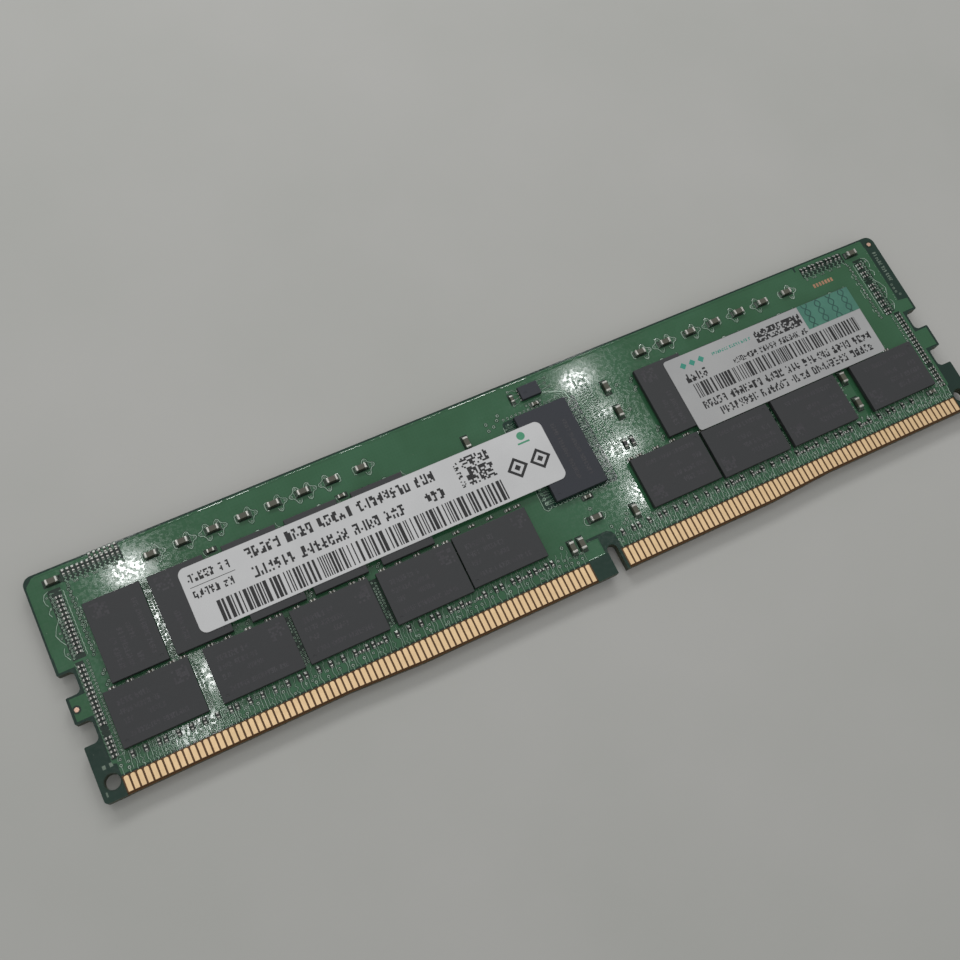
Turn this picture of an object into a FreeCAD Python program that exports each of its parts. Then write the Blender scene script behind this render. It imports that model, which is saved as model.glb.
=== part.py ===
"""Registered server memory module: a keyed card with packages, small parts, gold contacts and labels.

Frame: X runs along the card with the key to the right of centre, Y runs from the contacts to the
top edge, Z points out of the labelled face. The origin is the centre of the bounding box's lower
face, so the module rests on its rear packages at Z = 0. Places on the card are given from its
lower left corner and moved to this frame by on_card(). All lengths are millimetres.
"""
import FreeCAD, Part
import math
import os

# Card outline
CARD_LENGTH = 133.35
CARD_HEIGHT = 31.25
CARD_THICKNESS = 1.40
TOP_CORNER_RADIUS = 1.25
LOWER_CORNER_RADIUS = 0.5
END_RISE = 0.5
LEFT_STEP_START = 32.25
LEFT_STEP_END = 42.45
RIGHT_STEP_START = 96.85
RIGHT_STEP_END = 107.05
NOTCH_DEPTH = 2.05
NOTCH_RADIUS = 0.75
NOTCH_LIP_RADIUS = 0.2
NOTCH_SPANS = ((8.0, 11.0), (14.6, 17.6))
KEY_CENTRE = 72.25
KEY_WIDTH = 1.5
KEY_TOP = 4.0
CORNER_HOLE_RADIUS = 1.0
CORNER_HOLE_X = 1.72
CORNER_HOLE_Y = 2.77

# Modelling allowances
POINT_TOLERANCE = 1e-6
CUT_ALLOWANCE = 1.0

# Layers of the card
MASK_THICKNESS = 0.05
OUTER_LAYER_THICKNESS = 0.20
PLANE_THICKNESS = 0.035
PLANE_INSET = 0.4
PLANE_BOTTOM = 4.4
BEVEL_HEIGHT = 0.3
BEVEL_DEPTH = 0.2

# Edge contacts
CONTACT_PITCH = 0.85
CONTACT_WIDTH = 0.60
CONTACT_TOP = 2.78
CONTACT_TIP_RADIUS = 0.22
FIRST_CONTACT_X = 3.35
FIRST_RIGHT_CONTACT_X = 73.90
LEFT_CONTACTS = 77
RIGHT_CONTACTS = 67
WINDOW_MARGIN = 0.5
WINDOW_TOP = 2.9

# Memory package
CHIP_LENGTH = 11.0
CHIP_WIDTH = 7.5
BALL_GAP = 0.25
SUBSTRATE_THICKNESS = 0.20
CHIP_HEIGHT = 1.10
MOULD_CHAMFER = 0.04
DIMPLE_RADIUS = 0.22
DIMPLE_DEPTH = 0.03
DIMPLE_INSET = 0.75
BALL_RADIUS = 0.225
BALL_NECK_SHARE = 0.83
BALL_PITCH = 0.8
BALL_ROWS = 13
BALL_COLUMNS = (-4, -3, -2, 2, 3, 4)

# Places of the memory packages
LOWER_ROW_Y = 9.4
UPPER_ROW_Y = 19.3
LOWER_LEFT_X = (9.9, 22.85, 34.6, 46.8, 58.0)
UPPER_LEFT_X = (9.65, 18.15, 28.2, 36.95, 46.55)
LOWER_RIGHT_X = (85.75, 97.2, 109.0, 122.95)
UPPER_RIGHT_X = (91.0, 101.45, 111.15, 120.45)
INNER_LOWER_LIFT = 0.3
INNER_UPPER_LIFT = 0.5

# Register and serial-presence-detect packages
REGISTER_X = 72.1
REGISTER_Y = 19.0
REGISTER_LENGTH = 8.0
REGISTER_WIDTH = 13.5
REGISTER_BALL_PITCH = 0.65
REGISTER_BALL_RADIUS = 0.19
REGISTER_BALLS_X = 12
REGISTER_BALLS_Y = 20
SPD_X = 72.15
SPD_Y = 28.75
SPD_LENGTH = 3.0
SPD_WIDTH = 2.0
SPD_HEIGHT = 0.75
SPD_STANDOFF = 0.03
SPD_LEADS_PER_SIDE = 4
SPD_LEAD_PITCH = 0.5
SPD_LEAD_WIDTH = 0.25
SPD_LEAD_LENGTH = 0.45
SPD_LEAD_REACH = 0.12
SPD_LEAD_HEIGHT = 0.16

# Small two-ended parts: length, width, height, length and edge chamfer of each metal end
LARGE_CAPACITOR = (1.6, 0.8, 0.8, 0.35, 0.06)
SMALL_CAPACITOR = (1.0, 0.5, 0.5, 0.25, 0.04)
SMALL_RESISTOR = (1.0, 0.5, 0.35, 0.2, 0.04)
TINY_PART = (0.6, 0.3, 0.25, 0.15, 0)
END_WALL = 0.05

# Rows of small parts: (first x, first y, step in x, step in y, count, angle)
TOP_ROW_AND_EDGE_CAPACITORS = (
    (16.0, 27.7, 4.25, 0, 8, 0),
    (89.9, 27.8, 4.25, 0, 7, 0),
    (3.5, 29.4, 0, 0, 1, 0),
    (128.55, 29.6, 0, 0, 1, 0),
    (116.1, 7.8, 0, 4.4, 2, 90),
)
FRONT_LARGE_CAPACITORS = (
    (60.6, 25.2, 0, 0, 1, 90),
    (72.15, 8.2, 0, 0, 1, 0),
    (77.75, 6.85, 0, 0, 1, 90),
    (67.25, 5.65, 1.4, 0, 2, 90),
    (82.7, 20.8, 0, 4.1, 2, 90),
)
REAR_LARGE_CAPACITORS = (
    (66.0, 10.5, 0, 4.25, 4, 0),
    (78.2, 10.5, 0, 4.25, 4, 0),
    (70.0, 8.4, 4.25, 0, 2, 0),
)
SHARED_SMALL_CAPACITORS = (
    (127.7, 4.9, 0, 0, 1, 0),
    (23.15, 25.1, 0, 0, 1, 0),
    (41.75, 25.1, 0, 0, 1, 0),
)
FRONT_SMALL_CAPACITORS = (
    (72.55, 11.35, 0, 0, 1, 0),
    (69.35, 28.6, 0, 0, 1, 90),
    (72.1, 26.7, 0, 0, 1, 0),
)
REAR_SMALL_CAPACITORS = (
    (70.6, 14.0, 0, 2.4, 5, 0),
    (73.6, 14.0, 0, 2.4, 5, 0),
)
FRONT_SMALL_RESISTORS = ((81.25, 16.15, 1.15, 0, 2, 90),)
REAR_SMALL_RESISTORS = ((82.7, 18.0, 0, 1.6, 4, 0),)
END_COLUMN_RESISTORS = (
    (3.06, 5.55, 0, 0.59, 5, 0),
    (3.06, 9.81, 0, 0.575, 6, 0),
    (3.06, 13.33, 0, 0.616, 8, 0),
    (3.52, 19.45, 0, 1.19, 7, 0),
    (3.52, 20.03, 0, 1.19, 7, 0),
    (128.83, 18.6, 0, 1.5, 4, 0),
    (128.83, 19.2, 0, 1.5, 4, 0),
    (128.83, 25.4, 0, 1.5, 2, 0),
    (128.83, 26.0, 0, 1.5, 2, 0),
    (129.97, 5.2, 0, 0.6, 6, 0),
    (129.97, 9.3, 0, 0.6, 15, 0),
)
UPPER_CORNER_RESISTORS = (
    (5.15, 30.0, 0.65, 0, 12, 90),
    (8.9, 30.75, 0.68, 0, 6, 90),
    (119.8, 30.0, 1.52, 0, 5, 90),
    (120.45, 30.0, 1.52, 0, 5, 90),
)

# Tiny resistors above the contacts, by contact number on the face from 1 at the left end
SIGNAL_RESISTOR_Y = 4.85
GROUND_RESISTOR_Y = 4.7
FRONT_FIRST_SIGNAL_PIN = 3
REAR_FIRST_SIGNAL_PIN = 4
RIGHT_HALF_PIN_STEP = 92
LEFT_SIGNAL_GROUPS = 5
RIGHT_SIGNAL_GROUPS = 4
SIGNAL_GROUP_PINS = 11
SIGNAL_PIN_OFFSETS = (0, 2, 4, 5, 7, 9)
ADDRESS_PINS = (60, 62, 63, 65, 66, 68, 69, 71, 72, 79, 81, 82, 84, 86, 87, 89, 91, 93)
GROUND_PINS = (39, 42, 55, 57, 59, 67, 70, 101, 105, 114, 116, 123, 127)

# Tiny capacitors between the two rows of memory packages, from the centre of a lower package
GAP_PART_OFFSETS = (-4.3, -2.0, 0.75, 3.55, 4.95)
GAP_PART_RISE = 4.08
INNER_LEFT_GAP_PART_RISE = 4.43
INNER_RIGHT_GAP_PART_RISE = 4.17
GAP_PART_LIMIT_X = 127.0

# Labels
LABEL_THICKNESS = 0.10
RATING_LABEL = (18.1, 14.85, 53.0, 9.15, 1.0)
SERVICE_LABEL = (91.75, 13.25, 32.4, 11.45, 0.5)
PATCH_THICKNESS = 0.03
PATCH_LENGTH = 9.1
PATCH_HEIGHT = 3.95
PATCH_CORNER_RADIUS = 0.1

# Heights in the frame of the object
REAR_SURFACE = CHIP_HEIGHT
FRONT_SURFACE = REAR_SURFACE + CARD_THICKNESS
LAMINATE_BOTTOM = REAR_SURFACE + MASK_THICKNESS
LAMINATE_TOP = FRONT_SURFACE - MASK_THICKNESS
LABEL_BASE = FRONT_SURFACE + CHIP_HEIGHT

UP = FreeCAD.Vector(0, 0, 1)
ACROSS = FreeCAD.Vector(0, 1, 0)
HERE = FreeCAD.Vector(0, 0, 0)


def on_card(x, y, z=0.0):
    """Point of the object's frame for a place measured from the card's lower left corner."""
    return FreeCAD.Vector(x - CARD_LENGTH / 2, y - CARD_HEIGHT / 2, z)


def rounded_face(corners, z):
    """Flat face at height z whose corners are (x, y, radius) on the card."""
    count = len(corners)
    joints = []
    for i in range(count):
        here = on_card(corners[i][0], corners[i][1], z)
        before = corners[i - 1]
        after = corners[(i + 1) % count]
        back = (on_card(before[0], before[1], z) - here).normalize()
        ahead = (on_card(after[0], after[1], z) - here).normalize()
        half = back.getAngle(ahead) / 2
        radius = corners[i][2]
        reach = radius / math.tan(half)
        inward = (back + ahead).normalize()
        middle = here + inward * (radius / math.sin(half) - radius)
        joints.append((here + back * reach, middle, here + ahead * reach, radius))
    edges = []
    for i in range(count):
        start, middle, end, radius = joints[i]
        last = joints[i - 1][2]
        if last.distanceToPoint(start) > POINT_TOLERANCE:
            edges.append(Part.makeLine(last, start))
        if radius > 0:
            edges.append(Part.Arc(start, middle, end).toShape())
    return Part.Face(Part.Wire(edges))


def box(x0, y0, x1, y1, z0, z1):
    """Block between two opposite corners on the card."""
    return Part.makeBox(x1 - x0, y1 - y0, z1 - z0, on_card(x0, y0, z0))


def centred_box(length, width, height, z=0.0):
    """Block centred on the local origin in X and Y."""
    return Part.makeBox(length, width, height, FreeCAD.Vector(-length / 2, -width / 2, z))


def edge_height(x):
    """Height of the card's lower edge at x: raised at both ends, low in the middle."""
    if x < LEFT_STEP_START or x > RIGHT_STEP_END:
        return END_RISE
    if x < LEFT_STEP_END:
        return END_RISE * (LEFT_STEP_END - x) / (LEFT_STEP_END - LEFT_STEP_START)
    if x > RIGHT_STEP_START:
        return END_RISE * (x - RIGHT_STEP_START) / (RIGHT_STEP_END - RIGHT_STEP_START)
    return 0.0


def mirrored(corners):
    """The same corners seen from the other end of the card, in the opposite order."""
    return [(CARD_LENGTH - x, y, radius) for x, y, radius in reversed(corners)]


def card_corners():
    """Corners of the card, anticlockwise from the lower left, with the radius of each."""
    key_left = KEY_CENTRE - KEY_WIDTH / 2
    key_right = KEY_CENTRE + KEY_WIDTH / 2
    bottom = [
        (LEFT_STEP_START, END_RISE, 0),
        (LEFT_STEP_END, 0, 0),
        (key_left, 0, 0),
        (key_left, KEY_TOP, KEY_WIDTH / 2),
        (key_right, KEY_TOP, KEY_WIDTH / 2),
        (key_right, 0, 0),
        (RIGHT_STEP_START, 0, 0),
        (RIGHT_STEP_END, END_RISE, 0),
    ]
    right_side = [(CARD_LENGTH, END_RISE, LOWER_CORNER_RADIUS)]
    for low, high in NOTCH_SPANS:
        right_side.append((CARD_LENGTH, low, NOTCH_LIP_RADIUS))
        right_side.append((CARD_LENGTH - NOTCH_DEPTH, low, NOTCH_RADIUS))
        right_side.append((CARD_LENGTH - NOTCH_DEPTH, high, NOTCH_RADIUS))
        right_side.append((CARD_LENGTH, high, NOTCH_LIP_RADIUS))
    right_side.append((CARD_LENGTH, CARD_HEIGHT, TOP_CORNER_RADIUS))
    return bottom + right_side + mirrored(right_side)


def card_prism(z0, z1):
    """The card's outline as a slab between two heights, with its corner holes."""
    slab = rounded_face(card_corners(), z0).extrude(UP * (z1 - z0))
    for x in (CORNER_HOLE_X, CARD_LENGTH - CORNER_HOLE_X):
        centre = on_card(x, CORNER_HOLE_Y, z0 - CUT_ALLOWANCE)
        slab = slab.cut(Part.makeCylinder(CORNER_HOLE_RADIUS, z1 - z0 + 2 * CUT_ALLOWANCE, centre))
    return slab


def contact_columns():
    """X of every contact, from the left end to the right end."""
    left = [FIRST_CONTACT_X + CONTACT_PITCH * i for i in range(LEFT_CONTACTS)]
    right = [FIRST_RIGHT_CONTACT_X + CONTACT_PITCH * i for i in range(RIGHT_CONTACTS)]
    return left + right


def contact_windows():
    """The two stretches of the lower edge that carry contacts, as (left, right)."""
    columns = contact_columns()
    left = columns[:LEFT_CONTACTS]
    right = columns[LEFT_CONTACTS:]
    return [(side[0] - WINDOW_MARGIN, side[-1] + WINDOW_MARGIN) for side in (left, right)]


def bevel_section(x, surface, inward):
    """Triangle that bevels the lower edge at x, on the face whose inward direction is given."""
    y = edge_height(x)
    face_end = on_card(x, y + BEVEL_HEIGHT, surface)
    past_edge = on_card(x, y - BEVEL_HEIGHT, surface + inward * 2 * BEVEL_DEPTH)
    outside = on_card(x, y - BEVEL_HEIGHT, surface)
    return Part.makePolygon([face_end, past_edge, outside, face_end])


def bevel_cutters():
    """Wedges that bevel the lower edge along the contacts, on both faces."""
    stops = (LEFT_STEP_START, LEFT_STEP_END, RIGHT_STEP_START, RIGHT_STEP_END)
    cutters = []
    for left, right in contact_windows():
        inner = [x for x in stops if left < x < right]
        breaks = [left] + inner + [right]
        for x0, x1 in zip(breaks, breaks[1:]):
            for surface, inward in ((LAMINATE_BOTTOM, 1), (LAMINATE_TOP, -1)):
                sections = [bevel_section(x0, surface, inward), bevel_section(x1, surface, inward)]
                cutters.append(Part.makeLoft(sections, True, True))
    return cutters


def inner_planes():
    """The two copper sheets inside the card, set back from every edge."""
    rear_plane = LAMINATE_BOTTOM + OUTER_LAYER_THICKNESS
    front_plane = LAMINATE_TOP - OUTER_LAYER_THICKNESS - PLANE_THICKNESS
    sheets = []
    for z in (rear_plane, front_plane):
        outline = rounded_face(card_corners(), z).makeOffset2D(-PLANE_INSET)
        sheet = outline.extrude(UP * PLANE_THICKNESS)
        keep = box(0, PLANE_BOTTOM, CARD_LENGTH, CARD_HEIGHT, z, z + PLANE_THICKNESS)
        sheets.append(sheet.common(keep))
    return sheets


def laminate_layers(planes):
    """Core and two outer glass-epoxy layers, with the core recessed for the copper sheets."""
    core_bottom = LAMINATE_BOTTOM + OUTER_LAYER_THICKNESS
    core_top = LAMINATE_TOP - OUTER_LAYER_THICKNESS
    core = card_prism(core_bottom, core_top)
    for plane in planes:
        core = core.cut(plane)
    layers = [card_prism(LAMINATE_BOTTOM, core_bottom), core, card_prism(core_top, LAMINATE_TOP)]
    cutters = bevel_cutters()
    return [layer.cut(cutters) for layer in layers]


def solder_mask(z):
    """Mask skin over one face of the card, open along the contacts."""
    skin = card_prism(z, z + MASK_THICKNESS)
    for left, right in contact_windows():
        skin = skin.cut(box(left, 0, right, WINDOW_TOP, z, z + MASK_THICKNESS))
    return skin


def edge_contacts(z):
    """One gold contact per column on one face, each ending just above the bevel."""
    half = CONTACT_WIDTH / 2
    contacts = []
    for x in contact_columns():
        bottom = edge_height(x) + BEVEL_HEIGHT
        corners = [
            (x - half, bottom, 0),
            (x + half, bottom, 0),
            (x + half, CONTACT_TOP, CONTACT_TIP_RADIUS),
            (x - half, CONTACT_TOP, CONTACT_TIP_RADIUS),
        ]
        contacts.append(rounded_face(corners, z).extrude(UP * MASK_THICKNESS))
    return contacts


def mould(length, width, bottom, top):
    """Moulded package top with chamfered upper edges and a first-ball dimple."""
    block = centred_box(length, width, top - bottom, bottom)
    rim = [edge for edge in block.Edges if edge.BoundBox.ZMin > top - POINT_TOLERANCE]
    block = block.makeChamfer(MOULD_CHAMFER, rim)
    dimple_place = FreeCAD.Vector(DIMPLE_INSET - length / 2, DIMPLE_INSET - width / 2, top - DIMPLE_DEPTH)
    return block.cut(Part.makeCylinder(DIMPLE_RADIUS, CUT_ALLOWANCE, dimple_place))


def ball(radius):
    """Solder ball pressed between the card and the package, as a barrel widest at mid height."""
    neck = radius * BALL_NECK_SHARE
    middle = FreeCAD.Vector(0, 0, BALL_GAP / 2)
    lower = Part.makeCone(neck, radius, BALL_GAP / 2)
    upper = Part.makeCone(radius, neck, BALL_GAP / 2, middle)
    return lower.fuse(upper)


def memory_balls():
    """Ball grid of one memory package: rows along its length, two groups of columns."""
    one = ball(BALL_RADIUS)
    balls = []
    for row in range(BALL_ROWS):
        for column in BALL_COLUMNS:
            x = (row - (BALL_ROWS - 1) / 2) * BALL_PITCH
            balls.append(one.translated(FreeCAD.Vector(x, column * BALL_PITCH, 0)))
    return Part.makeCompound(balls)


def register_balls():
    """Full ball grid of the register."""
    one = ball(REGISTER_BALL_RADIUS)
    balls = []
    for i in range(REGISTER_BALLS_X):
        for j in range(REGISTER_BALLS_Y):
            x = (i - (REGISTER_BALLS_X - 1) / 2) * REGISTER_BALL_PITCH
            y = (j - (REGISTER_BALLS_Y - 1) / 2) * REGISTER_BALL_PITCH
            balls.append(one.translated(FreeCAD.Vector(x, y, 0)))
    return Part.makeCompound(balls)


def spd_leads():
    """Metal ends under the two short sides of the small package."""
    leads = []
    for side in (-1, 1):
        for i in range(SPD_LEADS_PER_SIDE):
            y = (i - (SPD_LEADS_PER_SIDE - 1) / 2) * SPD_LEAD_PITCH
            x = side * (SPD_LENGTH / 2 + SPD_LEAD_REACH - SPD_LEAD_LENGTH / 2)
            lead = centred_box(SPD_LEAD_LENGTH, SPD_LEAD_WIDTH, SPD_LEAD_HEIGHT)
            leads.append(lead.translated(FreeCAD.Vector(x, y, 0)))
    return leads


def two_ended_part(sizes):
    """Body and two cup-shaped metal ends of a chip capacitor or resistor, its length along X."""
    length, width, height, end_length, chamfer = sizes
    body = centred_box(length - 2 * END_WALL, width - 2 * END_WALL, height - 2 * END_WALL, END_WALL)
    ends = []
    for side in (-1, 1):
        cup = centred_box(end_length, width, height)
        if chamfer > 0:
            cup = cup.makeChamfer(chamfer, cup.Edges)
        cup = cup.translated(FreeCAD.Vector(side * (length - end_length) / 2, 0, 0))
        ends.append(cup.cut(body))
    return body, Part.makeCompound(ends)


def placed(shape, x, y, angle, front):
    """Shape built on z = 0 around the origin, set on the front or the rear of the card."""
    result = shape.copy()
    result.rotate(HERE, UP, angle)
    if not front:
        result.rotate(HERE, ACROSS, 180)
    result.translate(on_card(x, y, FRONT_SURFACE if front else REAR_SURFACE))
    return result


def memory_places():
    """(x, y, angle) of the memory packages of one face, left end to right end, lower row first."""
    places = [(x, LOWER_ROW_Y, 0) for x in LOWER_LEFT_X[:-1]]
    places.append((LOWER_LEFT_X[-1], LOWER_ROW_Y + INNER_LOWER_LIFT, 0))
    places += [(x, UPPER_ROW_Y, 90) for x in UPPER_LEFT_X]
    places.append((LOWER_RIGHT_X[0], LOWER_ROW_Y + INNER_LOWER_LIFT, 180))
    places += [(x, LOWER_ROW_Y, 180) for x in LOWER_RIGHT_X[1:]]
    places.append((UPPER_RIGHT_X[0], UPPER_ROW_Y + INNER_UPPER_LIFT, 90))
    places += [(x, UPPER_ROW_Y, 90) for x in UPPER_RIGHT_X[1:]]
    return places


def places_in(*tables):
    """(x, y, angle) of every small part in tables of rows."""
    places = []
    for rows in tables:
        for x, y, step_x, step_y, count, angle in rows:
            places += [(x + step_x * i, y + step_y * i, angle) for i in range(count)]
    return places


def large_capacitors(front):
    """Places of the larger decoupling capacitors of one face."""
    own = FRONT_LARGE_CAPACITORS if front else REAR_LARGE_CAPACITORS
    return places_in(TOP_ROW_AND_EDGE_CAPACITORS, own)


def small_capacitors(front):
    """Places of the medium capacitors of one face."""
    own = FRONT_SMALL_CAPACITORS if front else REAR_SMALL_CAPACITORS
    return places_in(SHARED_SMALL_CAPACITORS, own)


def small_resistors(front):
    """Places of the medium resistors of one face."""
    return places_in(FRONT_SMALL_RESISTORS if front else REAR_SMALL_RESISTORS)


def series_resistors(front):
    """Places of the tiny resistors above the contacts of one face."""
    first = FRONT_FIRST_SIGNAL_PIN if front else REAR_FIRST_SIGNAL_PIN
    halves = ((first, LEFT_SIGNAL_GROUPS), (first + RIGHT_HALF_PIN_STEP, RIGHT_SIGNAL_GROUPS))
    pins = list(ADDRESS_PINS)
    for start, groups in halves:
        for group in range(groups):
            pins += [start + SIGNAL_GROUP_PINS * group + offset for offset in SIGNAL_PIN_OFFSETS]
    columns = contact_columns()
    places = [(columns[pin - 1], SIGNAL_RESISTOR_Y, 90) for pin in pins]
    if front:
        places += [(columns[pin - 1], GROUND_RESISTOR_Y, 0) for pin in GROUND_PINS]
    return places


def tiny_resistors(front):
    """Places of every tiny resistor of one face."""
    return series_resistors(front) + places_in(END_COLUMN_RESISTORS, UPPER_CORNER_RESISTORS)


def row_gap_parts():
    """Places of the tiny capacitors between the two rows of memory packages."""
    inner_row = LOWER_ROW_Y + INNER_LOWER_LIFT
    centres = [(x, LOWER_ROW_Y + GAP_PART_RISE, 1) for x in LOWER_LEFT_X[:-1]]
    centres.append((LOWER_LEFT_X[-1], inner_row + INNER_LEFT_GAP_PART_RISE, 1))
    centres.append((LOWER_RIGHT_X[0], inner_row + INNER_RIGHT_GAP_PART_RISE, -1))
    centres += [(x, LOWER_ROW_Y + GAP_PART_RISE, -1) for x in LOWER_RIGHT_X[1:]]
    places = [(x + side * offset, y, 0) for x, y, side in centres for offset in GAP_PART_OFFSETS]
    return [place for place in places if place[0] < GAP_PART_LIMIT_X]


def rounded_plate(place, z, thickness):
    """Thin plate given as (left, bottom, length, height, corner radius)."""
    left, bottom, length, height, radius = place
    right = left + length
    top = bottom + height
    corners = [(left, bottom, radius), (right, bottom, radius), (right, top, radius), (left, top, radius)]
    return rounded_face(corners, z).extrude(UP * thickness)


def save(name, shapes):
    """Write one node from its list of solids."""
    shape = shapes[0] if len(shapes) == 1 else Part.makeCompound(shapes)
    shape.exportStep("parts/" + name + ".step")


def build_card():
    """Laminate, inner copper, solder mask and contacts."""
    planes = inner_planes()
    save("inner_copper_planes", planes)
    save("pcb_laminate", laminate_layers(planes))
    for side, z in (("front", LAMINATE_TOP), ("back", REAR_SURFACE)):
        save("solder_mask_" + side, [solder_mask(z)])
        save("edge_contacts_" + side, edge_contacts(z))


def build_memory_packages():
    """Memory packages of both faces, one node each, with shared nodes for substrates and balls."""
    mould_bottom = BALL_GAP + SUBSTRATE_THICKNESS
    top = mould(CHIP_LENGTH, CHIP_WIDTH, mould_bottom, CHIP_HEIGHT)
    substrate = centred_box(CHIP_LENGTH, CHIP_WIDTH, SUBSTRATE_THICKNESS, BALL_GAP)
    balls = memory_balls()
    for side, front in (("front", True), ("back", False)):
        substrates = []
        grids = []
        for number, (x, y, angle) in enumerate(memory_places(), start=1):
            save(f"memory_chip_{side}_{number:02d}", [placed(top, x, y, angle, front)])
            substrates.append(placed(substrate, x, y, angle, front))
            grids.append(placed(balls, x, y, angle, front))
        if front:
            wide = centred_box(REGISTER_LENGTH, REGISTER_WIDTH, SUBSTRATE_THICKNESS, BALL_GAP)
            substrates.append(placed(wide, REGISTER_X, REGISTER_Y, 0, True))
            grids.append(placed(register_balls(), REGISTER_X, REGISTER_Y, 0, True))
        save("chip_substrates_" + side, substrates)
        save("solder_balls_" + side, [one for grid in grids for one in grid.Solids])


def build_support_packages():
    """Register and serial-presence-detect packages on the front."""
    mould_bottom = BALL_GAP + SUBSTRATE_THICKNESS
    register = mould(REGISTER_LENGTH, REGISTER_WIDTH, mould_bottom, CHIP_HEIGHT)
    save("register_chip", [placed(register, REGISTER_X, REGISTER_Y, 0, True)])
    leads = spd_leads()
    body = mould(SPD_LENGTH, SPD_WIDTH, SPD_STANDOFF, SPD_HEIGHT).cut(leads)
    save("spd_sensor_chip", [placed(body, SPD_X, SPD_Y, 0, True)])
    save("spd_sensor_leads", [placed(lead, SPD_X, SPD_Y, 0, True) for lead in leads])


def build_small_parts():
    """Chip capacitors and resistors of both faces."""
    large = two_ended_part(LARGE_CAPACITOR)
    medium = two_ended_part(SMALL_CAPACITOR)
    resistor = two_ended_part(SMALL_RESISTOR)
    tiny = two_ended_part(TINY_PART)
    for side, front in (("front", True), ("back", False)):
        capacitors = [
            (large, large_capacitors(front)),
            (medium, small_capacitors(front)),
            (tiny, row_gap_parts()),
        ]
        resistors = [
            (resistor, small_resistors(front)),
            (tiny, tiny_resistors(front)),
        ]
        for family, groups in (("capacitor", capacitors), ("resistor", resistors)):
            bodies = []
            ends = []
            for (body, metal), places in groups:
                for x, y, angle in places:
                    bodies.append(placed(body, x, y, angle, front))
                    ends += placed(metal, x, y, angle, front).Solids
            save(f"{family}_bodies_{side}", bodies)
            save(f"{family}_ends_{side}", ends)


def build_labels():
    """Two paper labels over the front packages and a foil patch on the second."""
    save("rating_label", [rounded_plate(RATING_LABEL, LABEL_BASE, LABEL_THICKNESS)])
    save("service_label", [rounded_plate(SERVICE_LABEL, LABEL_BASE, LABEL_THICKNESS)])
    left, bottom, length, height = SERVICE_LABEL[:4]
    patch_left = left + length - PATCH_LENGTH
    patch_bottom = bottom + height - PATCH_HEIGHT
    patch = (patch_left, patch_bottom, PATCH_LENGTH, PATCH_HEIGHT, PATCH_CORNER_RADIUS)
    save("security_patch", [rounded_plate(patch, LABEL_BASE + LABEL_THICKNESS, PATCH_THICKNESS)])


os.makedirs("parts", exist_ok=True)
build_card()
build_memory_packages()
build_support_packages()
build_small_parts()
build_labels()
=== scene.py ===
"""Looks of the registered memory module: finishes for the CAD nodes, and the copper relief, solder,
printed labels, package marks, floor, lights and camera around them.

Lengths are millimetres until a mesh is made, and metres on the stage. Places on the card are measured
from its lower left corner, seen from the labelled face, and heights from the solder mask outwards.
"""

import math
import random

import bmesh
import bpy
from mathutils import Matrix, Vector
from mathutils.geometry import tessellate_polygon


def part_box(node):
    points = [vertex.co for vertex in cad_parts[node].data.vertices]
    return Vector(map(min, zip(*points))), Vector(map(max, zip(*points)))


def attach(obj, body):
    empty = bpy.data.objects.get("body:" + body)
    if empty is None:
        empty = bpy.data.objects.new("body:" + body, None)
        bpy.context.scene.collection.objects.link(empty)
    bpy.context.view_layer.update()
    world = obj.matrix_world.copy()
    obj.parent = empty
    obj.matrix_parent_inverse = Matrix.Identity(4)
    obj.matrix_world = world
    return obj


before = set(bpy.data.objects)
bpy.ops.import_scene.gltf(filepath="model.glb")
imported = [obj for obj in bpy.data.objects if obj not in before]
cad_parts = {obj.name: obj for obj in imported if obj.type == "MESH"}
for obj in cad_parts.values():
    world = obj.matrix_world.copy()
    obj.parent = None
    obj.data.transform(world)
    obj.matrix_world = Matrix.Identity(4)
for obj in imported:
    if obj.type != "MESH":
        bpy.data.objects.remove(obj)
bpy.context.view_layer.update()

MM = 0.001
SEED = 288
MEMORY_PER_SIDE = 18

# ---------------- places taken from the CAD nodes


def node_box(name):
    """Lowest and highest corner of a CAD node in millimetres."""
    low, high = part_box(name)
    return low / MM, high / MM


def card_rectangle(name):
    """(left, bottom, right, top) of a CAD node, measured on the card."""
    low, high = node_box(name)
    return low.x - CARD_LOW.x, low.y - CARD_LOW.y, high.x - CARD_LOW.x, high.y - CARD_LOW.y


CARD_LOW, CARD_HIGH = node_box("pcb_laminate")
CARD_LENGTH = CARD_HIGH.x - CARD_LOW.x
CARD_HEIGHT = CARD_HIGH.y - CARD_LOW.y
REGISTER = card_rectangle("register_chip")
SENSOR = card_rectangle("spd_sensor_chip")
RATING_LABEL = card_rectangle("rating_label")
SERVICE_LABEL = card_rectangle("service_label")
PATCH = card_rectangle("security_patch")


class Face:
    """One face of the card: turns a place on the card and a height above it into a point."""

    def __init__(self, name, surface, outward):
        self.name = name
        self.surface = surface
        self.outward = outward

    def point(self, x, y, height):
        z = self.surface + self.outward * height
        return Vector((x + CARD_LOW.x, y + CARD_LOW.y, z)) * MM


FRONT = Face("front", node_box("solder_mask_front")[1].z, 1)
REAR = Face("back", node_box("solder_mask_back")[0].z, -1)
PACKAGE_TOP = node_box("memory_chip_front_01")[1].z - FRONT.surface
LABEL_TOP = node_box("rating_label")[1].z - FRONT.surface
PATCH_TOP = node_box("security_patch")[1].z - FRONT.surface


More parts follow.
